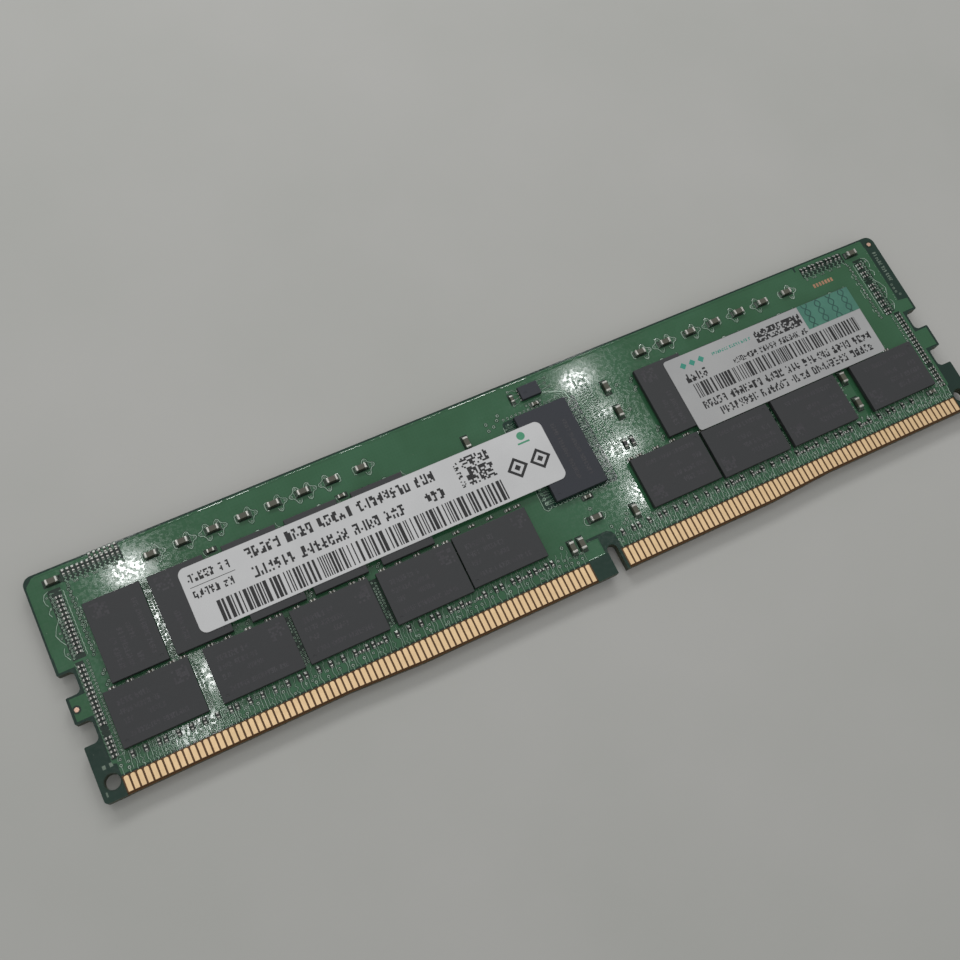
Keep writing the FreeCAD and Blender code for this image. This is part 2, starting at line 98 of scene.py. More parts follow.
def islands(name):
    """Boxes of the separate solids of a CAD node, as (low, high) in millimetres."""
    mesh = bmesh.new()
    mesh.from_mesh(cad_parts[name].data)
    bmesh.ops.remove_doubles(mesh, verts=mesh.verts, dist=1e-7)
    seen = set()
    boxes = []
    for start in mesh.verts:
        if start in seen:
            continue
        seen.add(start)
        stack = [start]
        corners = []
        while stack:
            vertex = stack.pop()
            corners.append(vertex.co)
            others = {edge.other_vert(vertex) for edge in vertex.link_edges} - seen
            seen |= others
            stack += others
        boxes.append((Vector(map(min, *corners)) / MM, Vector(map(max, *corners)) / MM))
    mesh.free()
    return boxes


def contact_columns(face):
    """X of every contact on a face."""
    boxes = islands("edge_contacts_" + face.name)
    return sorted((low.x + high.x) / 2 - CARD_LOW.x for low, high in boxes)


def small_parts(kind, face):
    """(x, y, angle, length, width, height) of the capacitors or resistors of a face. Their ends wrap
    the ceramic bodies, so they add their wall on every side of a body's box."""
    parts = []
    for low, high in islands(f"{kind}_bodies_{face.name}"):
        wall = (low.z - face.surface) if face is FRONT else (face.surface - high.z)
        size_x, size_y = high.x - low.x + 2 * wall, high.y - low.y + 2 * wall
        x, y = (low.x + high.x) / 2 - CARD_LOW.x, (low.y + high.y) / 2 - CARD_LOW.y
        angle = 0 if size_x > size_y else 90
        height = high.z - low.z + 2 * wall
        parts.append((x, y, angle, max(size_x, size_y), min(size_x, size_y), height))
    return parts


def memory_chips(face):
    """(x, y, angle, length, width) of the memory packages of a face."""
    chips = []
    for number in range(1, MEMORY_PER_SIDE + 1):
        left, bottom, right, top = card_rectangle(f"memory_chip_{face.name}_{number:02d}")
        x, y = (left + right) / 2, (bottom + top) / 2
        upright = top - bottom > right - left
        angle = 90 if upright else (0 if x < REGISTER[0] else 180)
        chips.append((x, y, angle, max(right - left, top - bottom), min(right - left, top - bottom)))
    return chips


# ---------------- outlines and paths on the card


def raised(outline, height):
    """Points of an outline, lifted to a height."""
    return [(x, y, height) for x, y in outline]


def rectangle(x0, y0, x1, y1):
    return [(x0, y0), (x1, y0), (x1, y1), (x0, y1)]


def circle(x, y, radius, sides):
    turn = 2 * math.pi / sides
    return [(x + radius * math.cos(turn * i), y + radius * math.sin(turn * i)) for i in range(sides)]


def arc(x, y, radius, first, last, steps):
    """Points along an arc, with its angles in degrees."""
    angles = [math.radians(first + (last - first) * i / steps) for i in range(steps + 1)]
    return [(x + radius * math.cos(a), y + radius * math.sin(a)) for a in angles]


def rounded_rectangle(x0, y0, x1, y1, radius):
    """Anticlockwise outline of a rectangle with round corners."""
    corners = ((x1 - radius, y1 - radius), (x0 + radius, y1 - radius))
    corners += ((x0 + radius, y0 + radius), (x1 - radius, y0 + radius))
    outline = []
    for number, (x, y) in enumerate(corners):
        outline += arc(x, y, radius, 90 * number, 90 * number + 90, 4)
    return outline


def placed(path, x, y, mirror=1):
    """Path moved to a place, and turned left to right if mirror is -1."""
    return [(x + mirror * u, y + v) for u, v in path]


def run(x, y, step_x, step_y, count):
    """Evenly spaced places."""
    return [(x + step_x * i, y + step_y * i) for i in range(count)]


def meander(x, y, length, swing, turns):
    """Zigzag path that climbs a length from a place."""
    path = [(x, y)]
    for i in range(turns):
        path.append((x + (-swing if i % 2 else swing), y + length * (i + 0.5) / turns))
    path.append((x, y + length))
    return path


def turned(x, y, angle, mirror=1):
    """Function that takes places in a turned frame with its origin at (x, y) to places on the card."""
    cos, sin = math.cos(math.radians(angle)), math.sin(math.radians(angle))
    return lambda u, v: (x + mirror * (u * cos - v * sin), y + u * sin + v * cos)


def sidelines(path, distance):
    """The two lines at a distance to the left and right of a path."""
    left = []
    right = []
    last = len(path) - 1
    for i, place in enumerate(path):
        here = Vector(place)
        ahead = (Vector(path[min(i + 1, last)]) - Vector(path[max(i - 1, 0)])).normalized()
        stretch = 1.0
        if 0 < i < last:
            stretch = max((here - Vector(path[i - 1])).normalized().dot(ahead), 0.5)
        side = Vector((-ahead.y, ahead.x)) * (distance / stretch)
        left.append(tuple(here + side))
        right.append(tuple(here - side))
    return left, right


# ---------------- mesh building


def add_object(name, data):
    """New object in the scene."""
    added = bpy.data.objects.new(name, data)
    bpy.context.scene.collection.objects.link(added)
    return added


class Piece:
    """Closed solids of one material on one face of the card, gathered into one mesh."""

    def __init__(self, name, face):
        self.name = name
        self.face = face
        self.points = []
        self.faces = []

    def skin(self, lines, joined_across, joined_along):
        """Quads between neighbouring lines of points, all of one length. The last line can be joined
        to the first, and the end of each line to its start. Returns the number of the first point."""
        start = len(self.points)
        count = len(lines[0])
        for line in lines:
            self.points += [self.face.point(*place) for place in line]
        for level in range(len(lines) if joined_across else len(lines) - 1):
            here = start + level * count
            there = start + (level + 1) % len(lines) * count
            for i in range(count if joined_along else count - 1):
                j = (i + 1) % count
                self.faces.append((here + i, here + j, there + j, there + i))
        return start

    def stack(self, rings):
        """Solid skinned over a stack of rings of points."""
        start = self.skin(rings, False, True)
        count = len(rings[0])
        top = start + (len(rings) - 1) * count
        self.faces.append(tuple(start + i for i in reversed(range(count))))
        self.faces.append(tuple(top + i for i in range(count)))

    def prism(self, outline, low, high):
        self.stack([raised(outline, low), raised(outline, high)])

    def ring(self, x, y, outer, inner, low, high, sides):
        """Flat ring with a rounded crest."""
        middle = (outer + inner) / 2
        crest = (outer - inner) / 5
        shoulder = (low + high) / 2
        profile = ((outer, low), (outer, shoulder), (middle + crest, high))
        profile += ((middle - crest, high), (inner, shoulder), (inner, low))
        self.skin([raised(circle(x, y, radius, sides), height) for radius, height in profile], True, True)

    def ribbon(self, path, width, low, high):
        """Track of even width along a path, with rounded shoulders."""
        left, right = sidelines(path, width / 2)
        inner_left, inner_right = sidelines(path, width / 4)
        shoulder = low + (high - low) * 0.6
        lines = [raised(left, low), raised(left, shoulder), raised(inner_left, high)]
        lines += [raised(inner_right, high), raised(right, shoulder), raised(right, low)]
        start = self.skin(lines, True, False)
        for i in (0, len(path) - 1):
            self.faces.append(tuple(start + level * len(path) + i for level in range(len(lines))))

    def plate(self, loops, low, high):
        """Plate with holes: the first loop is the outline, the others are the holes."""
        lower = []
        upper = []
        for loop in loops:
            start = self.skin([raised(loop, low), raised(loop, high)], False, True)
            lower += range(start, start + len(loop))
            upper += range(start + len(loop), start + 2 * len(loop))
        for triangle in tessellate_polygon([[Vector((x, y, 0)) for x, y in loop] for loop in loops]):
            self.faces.append([lower[i] for i in triangle])
            self.faces.append([upper[i] for i in triangle])

    def make(self, material, slot="solder_mask", smooth=False):
        """Build the mesh and let it ride on the module."""
        mesh = bpy.data.meshes.new(self.name)
        mesh.from_pydata(self.points, [], self.faces, shade_flat=not smooth)
        clean = bmesh.new()
        clean.from_mesh(mesh)
        bmesh.ops.recalc_face_normals(clean, faces=clean.faces)
        clean.to_mesh(mesh)
        clean.free()
        mesh.materials.append(material)
        piece = add_object(self.name, mesh)
        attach(piece, "root")


# ---------------- materials


def tone(red, green, blue):
    """Display colour, 0 to 255, as the linear colour that shaders take."""
    linear = []
    for value in (red, green, blue):
        share = value / 255
        linear.append(share / 12.92 if share <= 0.04045 else ((share + 0.055) / 1.055) ** 2.4)
    return (*linear, 1.0)


class Nodes:
    """Small helper that adds shader nodes to a tree and wires them."""

    def __init__(self, tree):
        self.tree = tree

    def node(self, kind, **settings):
        node = self.tree.nodes.new(kind)
        for key, value in settings.items():
            setattr(node, key, value)
        return node

    def feed(self, socket, value):
        """Link an output, or set a plain value, on an input socket."""
        if isinstance(value, bpy.types.NodeSocket):
            self.tree.links.new(value, socket)
        else:
            socket.default_value = value

    def worked(self, kind, operation, *values):
        """Result of a math or vector math node."""
        node = self.node(kind, operation=operation)
        for socket, value in zip(node.inputs, values):
            self.feed(socket, value)
        return node.outputs[0]

    def math(self, operation, *values):
        return self.worked("ShaderNodeMath", operation, *values)

    def spread(self, value, low, high, to_low=0.0, to_high=1.0):
        """Remap a value from one range to another, clamped."""
        node = self.node("ShaderNodeMapRange")
        for socket, amount in zip(node.inputs, (value, low, high, to_low, to_high)):
            self.feed(socket, amount)
        return node.outputs[0]


class Finish(Nodes):
    """Procedural material. Coordinates are millimetres on the module, and so is soft, the radius by
    which edges look rounded."""

    def __init__(self, name, metallic=0.0, specular=0.5, soft=None):
        self.material = bpy.data.materials.new(name)
        self.material.use_nodes = True
        super().__init__(self.material.node_tree)
        self.shader = self.tree.nodes["Principled BSDF"]
        self.shader.inputs["Metallic"].default_value = metallic
        self.shader.inputs["Specular IOR Level"].default_value = specular
        self.place = self.stretched(self.node("ShaderNodeTexCoord").outputs["Object"], (1 / MM,) * 3)
        self.normal = self.rounded(soft) if soft else None

    def stretched(self, place, factors):
        return self.worked("ShaderNodeVectorMath", "MULTIPLY", place, factors)

    def noise(self, per_mm, detail=3.0, roughness=0.55, stretch=(1, 1, 1)):
        """Noise between 0 and 1 with a given number of features per millimetre."""
        node = self.node("ShaderNodeTexNoise")
        self.feed(node.inputs["Vector"], self.stretched(self.place, stretch))
        node.inputs["Scale"].default_value = per_mm
        node.inputs["Detail"].default_value = detail
        node.inputs["Roughness"].default_value = roughness
        return node.outputs["Fac"]

    def cells(self, per_mm):
        """Distance to the nearest of scattered points."""
        node = self.node("ShaderNodeTexVoronoi")
        self.feed(node.inputs["Vector"], self.place)
        node.inputs["Scale"].default_value = per_mm
        return node.outputs["Distance"]

    def weave(self, per_mm, axis):
        """Parallel threads across one axis."""
        node = self.node("ShaderNodeTexWave", wave_type="BANDS", bands_direction=axis)
        self.feed(node.inputs["Vector"], self.place)
        node.inputs["Scale"].default_value = per_mm / 3.3
        node.inputs["Distortion"].default_value = 0.3
        return node.outputs["Fac"]

    def blend(self, share, first, second):
        """Mix of two colours, each an output or red, green and blue from 0 to 255."""
        node = self.node("ShaderNodeMix", data_type="RGBA")
        for number, value in ((0, share), (6, first), (7, second)):
            self.feed(node.inputs[number], tone(*value) if isinstance(value, tuple) else value)
        return node.outputs[2]

    def fade(self, value, low, high, first, second):
        """Colour that goes from the first to the second as a value goes from low to high."""
        return self.blend(self.spread(value, low, high), first, second)

    def tint(self, colour, share, most, other):
        """Colour mixed with a share of another, which is at most a given part."""
        return self.blend(self.math("MULTIPLY", share, most), colour, other)

    def rounded(self, radius):
        """Normal as if edges were rounded."""
        node = self.node("ShaderNodeBevel", samples=4)
        node.inputs["Radius"].default_value = radius * MM
        return node.outputs["Normal"]

    def edge_share(self, radius):
        """Near 1 along edges and 0 on flats, from how far a rounded normal turns from the true one."""
        normals = (self.rounded(radius), self.node("ShaderNodeNewGeometry").outputs["Normal"])
        dot = self.node("ShaderNodeVectorMath", operation="DOT_PRODUCT")
        for socket, normal in zip(dot.inputs, normals):
            self.feed(socket, normal)
        return self.spread(dot.outputs["Value"], 0.99, 0.8)

    def dress(self, colour, roughness, *bumps):
        """The material with its colour, its roughness and bumps of (0 to 1 height, depth)."""
        self.feed(self.shader.inputs["Base Color"], colour)
        self.feed(self.shader.inputs["Roughness"], roughness)
        for height, depth in bumps:
            node = self.node("ShaderNodeBump")
            node.inputs["Strength"].default_value = 1.0
            node.inputs["Distance"].default_value = depth * MM
            self.feed(node.inputs["Height"], height)
            if self.normal is not None:
                self.feed(node.inputs["Normal"], self.normal)
            self.normal = node.outputs["Normal"]
        self.feed(self.shader.inputs["Normal"], self.normal)
        return self.material


def mask_finish(name, deep, fair, peel):
    """Glossy lacquer: orange peel, faint glass weave, uneven gloss and a few dust specks."""
    made = Finish(name, specular=0.4)
    colour = made.fade(made.noise(0.12, 4.0), 0.35, 0.65, deep, fair)
    threads = made.math("MULTIPLY", made.weave(2.2, "X"), made.weave(2.2, "Y"))
    colour = made.tint(colour, threads, 0.08, (20, 52, 34))
    specks = made.spread(made.cells(0.55), 0.035, 0.02)
    colour = made.tint(colour, specks, 0.45, (150, 160, 150))
    gloss = made.spread(made.noise(2.0, 1.0, 0.5), 0.43, 0.56, 0.12, 0.06)
    return made.dress(colour, gloss, (made.noise(0.6, 2.5, 0.35), peel))


def mould_finish(name, base, fair, warmth):
    """Fine-grained mould compound with faint flow clouds, lighter worn edges and stray scuffs."""
    made = Finish(name, specular=0.35, soft=0.05)
    cloud = made.noise(0.22, 4.0, 0.6)
    grain = made.noise(14.0, 2.0, 0.7)
    colour = made.fade(cloud, 0.3, 0.7, base, fair)
    colour = made.tint(colour, made.spread(grain, 0.45, 0.75), 0.35, warmth)
    scuff = made.spread(made.noise(0.9, 4.0, 0.7, (0.25, 2.2, 1)), 0.68, 0.8)
    colour = made.tint(colour, scuff, 0.25, warmth)
    colour = made.tint(colour, made.edge_share(0.09), 0.4, warmth)
    gloss = made.spread(cloud, 0.3, 0.7, 0.5, 0.66)
    return made.dress(colour, gloss, (grain, 0.01), (made.noise(1.6, 3.0), 0.008))


def gold_finish():
    """Plated gold with insertion streaks along the contact, dull patches and small marks."""
    made = Finish("gold_contact", metallic=0.55, soft=0.03)
    streaks = made.noise(3.0, 4.0, 0.6, (4.5, 0.35, 1))
    colour = made.fade(made.noise(0.8, 3.0), 0.3, 0.7, (243, 211, 166), (233, 201, 156))
    colour = made.blend(made.spread(streaks, 0.6, 0.8, 0.0, 0.5), colour, (220, 190, 148))
    gloss = made.spread(streaks, 0.3, 0.7, 0.34, 0.52)
    return made.dress(colour, gloss, (streaks, 0.004), (made.noise(9.0, 2.0), 0.002))


def metal_finish(name, base, fair, roughness):
    """Tin and solder: grainy, slightly clouded bright metal."""
    made = Finish(name, metallic=1.0, soft=0.03)
    grain = made.noise(9.0, 3.0, 0.65)
    colour = made.fade(grain, 0.3, 0.7, base, fair)
    gloss = made.spread(made.noise(3.0, 3.0), 0.3, 0.7, roughness - 0.1, roughness + 0.12)
    return made.dress(colour, gloss, (grain, 0.012))


def laminate_finish():
    """Bare glass-epoxy: layered dark edges, and brown cloth between the contacts."""
    made = Finish("glass_epoxy", specular=0.4)
    threads = made.math("ADD", made.weave(4.5, "X"), made.weave(4.5, "Y"))
    layers = made.weave(7.0, "Z")
    facing = made.node("ShaderNodeSeparateXYZ")
    made.feed(facing.inputs[0], made.node("ShaderNodeNewGeometry").outputs["Normal"])
    flat = made.spread(made.math("ABSOLUTE", facing.outputs["Z"], 0.0), 0.45, 0.7)
    cloth = made.fade(threads, 0.6, 1.6, (74, 46, 22), (106, 74, 38))
    edge = made.blend(layers, (54, 62, 46), (92, 96, 70))
    edge = made.fade(made.noise(1.2, 4.0), 0.4, 0.7, edge, (40, 56, 42))
    colour = made.blend(flat, edge, cloth)
    return made.dress(colour, 0.55, (threads, 0.008), (made.noise(5.0, 4.0, 0.7), 0.02))


def plain_finish(name, base, fair, roughness, grain=8.0, depth=0.006, specular=0.4):
    """Fired ceramic, ink, lacquered copper painted with its highlights and other small-grained surfaces."""
    made = Finish(name, specular=specular)
    specks = made.noise(grain, 3.0, 0.6)
    cloud = made.noise(0.5, 3.0)
    mixed = made.math("MULTIPLY", made.math("ADD", specks, cloud), 0.5)
    colour = made.fade(mixed, 0.35, 0.65, base, fair)
    gloss = made.spread(specks, 0.3, 0.7, roughness - 0.06, roughness + 0.06)
    return made.dress(colour, gloss, (specks, depth))


def label_finish(name, base, fair, fibre):
    """Printed label stock: faint fibres, handling haze, greyer rubbed edges and small creases."""
    made = Finish(name, specular=0.4, soft=0.04)
    cloud = made.noise(0.1, 4.0)
    fibres = made.noise(6.0, 4.0, 0.7, (1.0, 3.0, 1))
    colour = made.fade(cloud, 0.35, 0.65, base, fair)
    colour = made.blend(made.spread(fibres, 0.5, 0.8, 0.0, 0.22), colour, (150, 150, 150))
    colour = made.tint(colour, made.edge_share(0.12), 0.35, (120, 122, 120))
    gloss = made.spread(cloud, 0.3, 0.7, 0.36, 0.52)
    return made.dress(colour, gloss, (fibres, fibre), (made.noise(0.18, 2.0), 0.06))


def foil_finish():
    """Shimmering foil: teal that drifts with place and viewing angle, over a fine grating."""
    made = Finish("teal_foil", metallic=0.55)
    facing = made.node("ShaderNodeLayerWeight")
    facing.inputs["Blend"].default_value = 0.35
    drift = made.math("ADD", made.noise(0.35, 3.0), facing.outputs["Facing"])
    colour = made.fade(drift, 0.4, 1.2, (84, 138, 120), (60, 104, 96))
    grating = made.weave(9.0, "DIAGONAL")
    colour = made.tint(colour, grating, 0.25, (104, 150, 130))
    return made.dress(colour, 0.34, (grating, 0.004))


MASK = mask_finish("solder_mask", (20, 47, 39), (26, 55, 45), 0.002)
MASK_OVER_COPPER = mask_finish("mask_over_copper", (50, 94, 64), (58, 103, 74), 0.0034)
# Lacquer over tracks: lighter than the lacquer over the pour, a painted highlight along each track's raised
# crest.
TRACK_PAINTED_HIGHLIGHT = plain_finish("mask_over_tracks", (80, 120, 94), (124, 154, 132), 0.14, 1.6, 0.003, 0.6)
# Lacquer over sheet edges: much lighter, a painted highlight along the raised edge.
OUTLINE_PAINTED_HIGHLIGHT = plain_finish("mask_over_outlines", (104, 142, 116), (160, 184, 166), 0.16, 1.6, 0.003, 0.6)
GAP = plain_finish("mask_gap", (14, 36, 28), (24, 50, 37), 0.3, 3.0, 0.002, 0.3)
# Via rims: very light, a painted highlight on each raised rim.
VIA_RIM_PAINTED_HIGHLIGHT = plain_finish("via_rim", (96, 134, 108), (176, 196, 180), 0.16, 1.8, 0.003, 0.6)
MEMORY_MOULD = mould_finish("memory_mould", (53, 55, 57), (59, 60, 62), (74, 75, 76))
REGISTER_MOULD = mould_finish("register_mould", (46, 49, 56), (53, 56, 63), (72, 74, 82))
GOLD = gold_finish()
SOLDER = metal_finish("solder", (142, 150, 144), (180, 188, 182), 0.38)
TINNED = metal_finish("tinned_end", (168, 168, 162), (204, 204, 198), 0.4)
COPPER = metal_finish("bare_copper", (206, 168, 148), (222, 190, 170), 0.4)
LAMINATE = laminate_finish()
SUBSTRATE = plain_finish("package_substrate", (30, 52, 38), (44, 70, 52), 0.4)
CERAMIC = plain_finish("capacitor_ceramic", (76, 77, 66), (92, 92, 80), 0.5, 11.0, 0.008)
RESISTOR = plain_finish("resistor_body", (36, 36, 38), (50, 50, 52), 0.3, 10.0, 0.006)
WHITE_LABEL = label_finish("white_label", (200, 201, 202), (208, 209, 210), 0.004)
SILVER_LABEL = label_finish("silver_label", (166, 167, 168), (175, 176, 176), 0.012)
FOIL = foil_finish()
INK = plain_finish("label_ink", (24, 24, 26), (36, 36, 38), 0.42, 12.0, 0.003)
GREEN_INK = plain_finish("green_ink", (60, 142, 108), (84, 160, 124), 0.4, 8.0, 0.003)
TEAL_INK = plain_finish("teal_ink", (48, 138, 120), (66, 150, 132), 0.4, 8.0, 0.003)
WAVE_INK = plain_finish("foil_ink", (36, 76, 68), (52, 98, 88), 0.36, 8.0, 0.003)
LASER_MARK = plain_finish("laser_mark", (59, 58, 62), (73, 72, 76), 0.5, 1.2, 0.004, 0.35)
ETCH_MARK = plain_finish("etched_mark", (150, 116, 92), (186, 140, 108), 0.4, 6.0, 0.004)
PALE_MARK = plain_finish("pale_mark", (84, 102, 90), (120, 136, 122), 0.4, 6.0, 0.004)

CAD_FINISHES = {
    "pcb_laminate": LAMINATE,
    "inner_copper": COPPER,
    "solder_mask": MASK,
    "edge_contacts": GOLD,
    "memory_chip": MEMORY_MOULD,
    "chip_substrates": SUBSTRATE,
    "solder_balls": SOLDER,
    "register_chip": REGISTER_MOULD,
    "spd_sensor_chip": REGISTER_MOULD,
    "spd_sensor_leads": TINNED,
    "capacitor_bodies": CERAMIC,
    "capacitor_ends": TINNED,
    "resistor_bodies": RESISTOR,
    "resistor_ends": TINNED,
    "rating_label": WHITE_LABEL,
    "service_label": SILVER_LABEL,
    "security_patch": FOIL,
}


def dress_cad_nodes():
    """Give every CAD node its finish, chosen by the start of its name."""
    for name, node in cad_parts.items():
        finish = next(look for start, look in CAD_FINISHES.items() if name.startswith(start))
        if not node.material_slots:
            node.data.materials.append(finish)
        for holder in node.material_slots:
            holder.link = "OBJECT"
            holder.material = finish


# ---------------- sizes of the added detail

POUR = 0.02  # height of the lacquer over copper above the lacquer over bare laminate
BED_TOP = POUR + 0.002
GAP_TOP = POUR + 0.004
CLEARING_TOP = POUR + 0.006
TRACK_TOP = POUR + 0.02
OUTLINE_TOP = POUR + 0.03
VIA_SURROUND_TOP = POUR + 0.005
VIA_CENTRE_TOP = POUR + 0.008
VIA_RIM_TOP = POUR + 0.032
EDGE_MARGIN = 0.35
KEY_X = 72.25
NOTCH_STEPS = (11.0, 14.6, 17.6)  # top of the lower notch, bottom and top of the upper one
NOTCH_FLOOR = 2.05
NOTCH_MARGIN = 0.3
CORNER_HOLES = (1.72, CARD_LENGTH - 1.72)
CORNER_HOLE_Y = 2.77
INK_THICKNESS = 0.006
MARK_THICKNESS = 0.004
TICK_TOP = 0.012

# ---------------- copper relief

# The copper's edge round the key, from left to right, measured from the key's middle.
KEY_OPENING = (
    (-1.2, 3.15), (-1.2, 5.45), (-2.85, 5.5), (-2.85, 5.95),
    (0.45, 5.95), (1.05, 5.6), (1.35, 5.0), (1.4, 3.1),
)
TOP_SLOTS = (118.8, 12.5)
SLOT_DEPTH = 0.65
SLOT_HALF_WIDTH = 0.15


def pour_outline():
    """Edge of the copper-backed lacquer: set back from the card's edge, notches, key and holes."""
    top = CARD_HEIGHT - EDGE_MARGIN
    inner = NOTCH_FLOOR + EDGE_MARGIN
    first_high, second_low, second_high = NOTCH_STEPS
    side = [(inner, first_high + NOTCH_MARGIN), (EDGE_MARGIN, first_high + NOTCH_MARGIN)]
    side += [(EDGE_MARGIN, second_low - NOTCH_MARGIN), (inner, second_low - NOTCH_MARGIN)]
    side += [(inner, second_high + NOTCH_MARGIN), (EDGE_MARGIN, second_high + NOTCH_MARGIN)]
    outline = [(2.95, 3.1)]
    outline += placed(KEY_OPENING, KEY_X, 0)
    outline += [(CARD_LENGTH - 2.85, 3.1), (CARD_LENGTH - 2.85, 4.7), (CARD_LENGTH - inner, 5.0)]
    outline += placed(side, CARD_LENGTH, 0, -1)
    outline += [(CARD_LENGTH - EDGE_MARGIN, 19.7), (CARD_LENGTH - 2.05, 19.9), (CARD_LENGTH - 2.05, top)]
    for x in TOP_SLOTS:
        outline += [(x + SLOT_HALF_WIDTH, top), (x + SLOT_HALF_WIDTH, top - SLOT_DEPTH)]
        outline += [(x - SLOT_HALF_WIDTH, top - SLOT_DEPTH), (x - SLOT_HALF_WIDTH, top)]
    outline += [(1.3, top), (EDGE_MARGIN, top - 0.95)]
    outline += reversed(side)
    outline += [(inner, 4.8), (2.95, 4.6)]
    return outline


def build_pour(face):
    """Copper-backed lacquer with an opening round the register."""
    left, bottom, right, top = REGISTER
    pour = Piece("copper_relief_" + face.name, face)
    opening = rounded_rectangle(left - 1.7, bottom - 0.4, right + 1.8, top + 0.2, 0.5)
    pour.plate([pour_outline(), opening], 0.0, POUR)
    pour.make(MASK_OVER_COPPER)


def build_edge_bead(face):
    """Bead of thicker lacquer where the copper ends: broken stretches along the top, lines elsewhere."""
    bead = Piece("edge_bead_" + face.name, face)
    rng = random.Random(SEED + 31)
    outer = CARD_HEIGHT - EDGE_MARGIN + 0.06
    for x in (15.4 + 4.1 * i for i in range(25)):
        crest = rng.uniform(0.066, 0.08)
        profile = ((outer, 0.0), (outer - 0.16, crest), (outer - 0.4, POUR), (outer - 0.4, 0.0))
        bead.stack([[(end, y, z) for y, z in profile] for end in (x, x + rng.uniform(2.9, 3.9))])
    top = CARD_HEIGHT - EDGE_MARGIN - 0.05
    for first, last in ((1.6, 12.2), (12.8, 118.5), (119.1, CARD_LENGTH - 2.2)):
        bead.ribbon([(first, top), (last, top)], 0.26, 0.0, OUTLINE_TOP)
    for x in (EDGE_MARGIN, CARD_LENGTH - 2.05):
        bead.ribbon([(x, 20.0), (x, top - 1.1)], 0.2, 0.0, OUTLINE_TOP)
    beside_key = ((-3.8, 3.15), (-1.2, 3.15), (-1.2, 5.45), (-2.6, 5.5))
    bead.ribbon(placed(beside_key, KEY_X, 0), 0.14, 0.0, OUTLINE_TOP)
    bead.make(MASK_OVER_COPPER)


class Copper:
    """Tracks, via rims and the dark gaps round them on one face."""

    def __init__(self, face):
        self.tracks = Piece("copper_tracks_" + face.name, face)
        self.outlines = Piece("copper_outlines_" + face.name, face)
        self.gaps = Piece("track_gaps_" + face.name, face)
        self.rims = Piece("via_rims_" + face.name, face)
        self.centres = Piece("via_centres_" + face.name, face)

    def bed(self, outline):
        """Patch without copper, so darker than the lacquer around it; where it fills a narrow gap between
        packages it is painted shade.
        """
        self.gaps.prism(outline, 0.0, BED_TOP)

    def track(self, path, width=0.11, gap=0.1):
        if gap > 0:
            self.gaps.ribbon(path, width + 2 * gap, 0.0, GAP_TOP)
        self.tracks.ribbon(path, width, 0.0, TRACK_TOP)

    def outline(self, path, width=0.11, gap=0.1):
        """Raised edge of a copper sheet, with a dark gap beside it, drawn as a brighter line: a painted
        highlight along its crest.
        """
        self.gaps.ribbon(path, width + 2 * gap, 0.0, GAP_TOP)
        self.outlines.ribbon(path, width, 0.0, OUTLINE_TOP)

    def via(self, x, y, radius=0.22, gap=0.07):
        """Lacquered hole: dark surround, raised rim drawn light as a painted highlight, and a sunken centre.
        """
        if gap > 0:
            self.gaps.prism(circle(x, y, radius + gap, 12), 0.0, VIA_SURROUND_TOP)
        self.rims.ring(x, y, radius, radius * 0.5, 0.0, VIA_RIM_TOP, 12)
        self.centres.prism(circle(x, y, radius * 0.5, 8), 0.0, VIA_CENTRE_TOP)

    def vias(self, places, radius=0.22, gap=0.07):
        for x, y in places:
            self.via(x, y, radius, gap)

    def make(self):
        self.gaps.make(GAP)
        self.tracks.make(TRACK_PAINTED_HIGHLIGHT)
        self.outlines.make(OUTLINE_PAINTED_HIGHLIGHT)
        self.rims.make(VIA_RIM_PAINTED_HIGHLIGHT, smooth=True)
        self.centres.make(GAP)


def contact_breakouts(copper, face, resistors, rng):
    """Tracks from the contacts to the resistors above them, with vias and stubs in between."""
    joined = {round(x, 1) for x, y, angle, *_ in resistors if y < 5.2 and angle == 90}
    for x in contact_columns(face):
        beyond_key = x > KEY_X
        if beyond_key or rng.random() < 0.6:
            low, high = rng.uniform(2.95, 3.5), rng.uniform(4.5, 5.8)
            bend = rng.uniform(low + 0.4, high - 0.5)
            line = copper.outline if beyond_key and rng.random() < 0.6 else copper.track
            line([(x + 0.4, low), (x + 0.4, bend), (x + 0.5, bend + 0.15), (x + 0.5, high)], 0.12, 0.1)
        if beyond_key:
            copper.vias(((x + 0.05, rng.uniform(4.6, 5.8)), (x + 0.2, rng.uniform(3.2, 4.4))), 0.15)
        if round(x, 1) in joined:
            jog = x + rng.choice((-0.16, 0.0, 0.16))
            copper.track([(x, 2.9), (x, 3.25), (jog, 3.6), (jog, 4.1), (x, 4.4)], 0.13, 0.12)
            copper.track([(x, 5.28), (jog, 5.55), (jog, 5.8)], 0.12)
            copper.bed(rectangle(x - 0.36, 4.4, x + 0.36, 5.32))
            if rng.random() < 0.5:
                copper.via(x + 0.42, rng.choice((3.3, 3.6, 3.9)), 0.17)
        elif rng.random() < 0.6:
            height = rng.choice((3.4, 3.7, 4.0))
            copper.track([(x - 0.06, 2.9), (x - 0.06, height)], 0.13, 0.08)
            copper.via(x - 0.06, height + 0.12, 0.21, 0.09)
            copper.via(x + 0.1, height + 0.85, 0.17, 0.08)
            stub = [(x - 0.2, height + 0.7), (x - 0.2, 5.1), (x + 0.05, 5.4), (x + 0.05, 5.8)]
            copper.track(stub, 0.11, 0.08)
        else:
            copper.track(meander(x, 2.9, 1.5, 0.15, 4))
            copper.track([(x - 0.12, 4.6), (x + 0.1, 4.85), (x + 0.1, 5.4)])


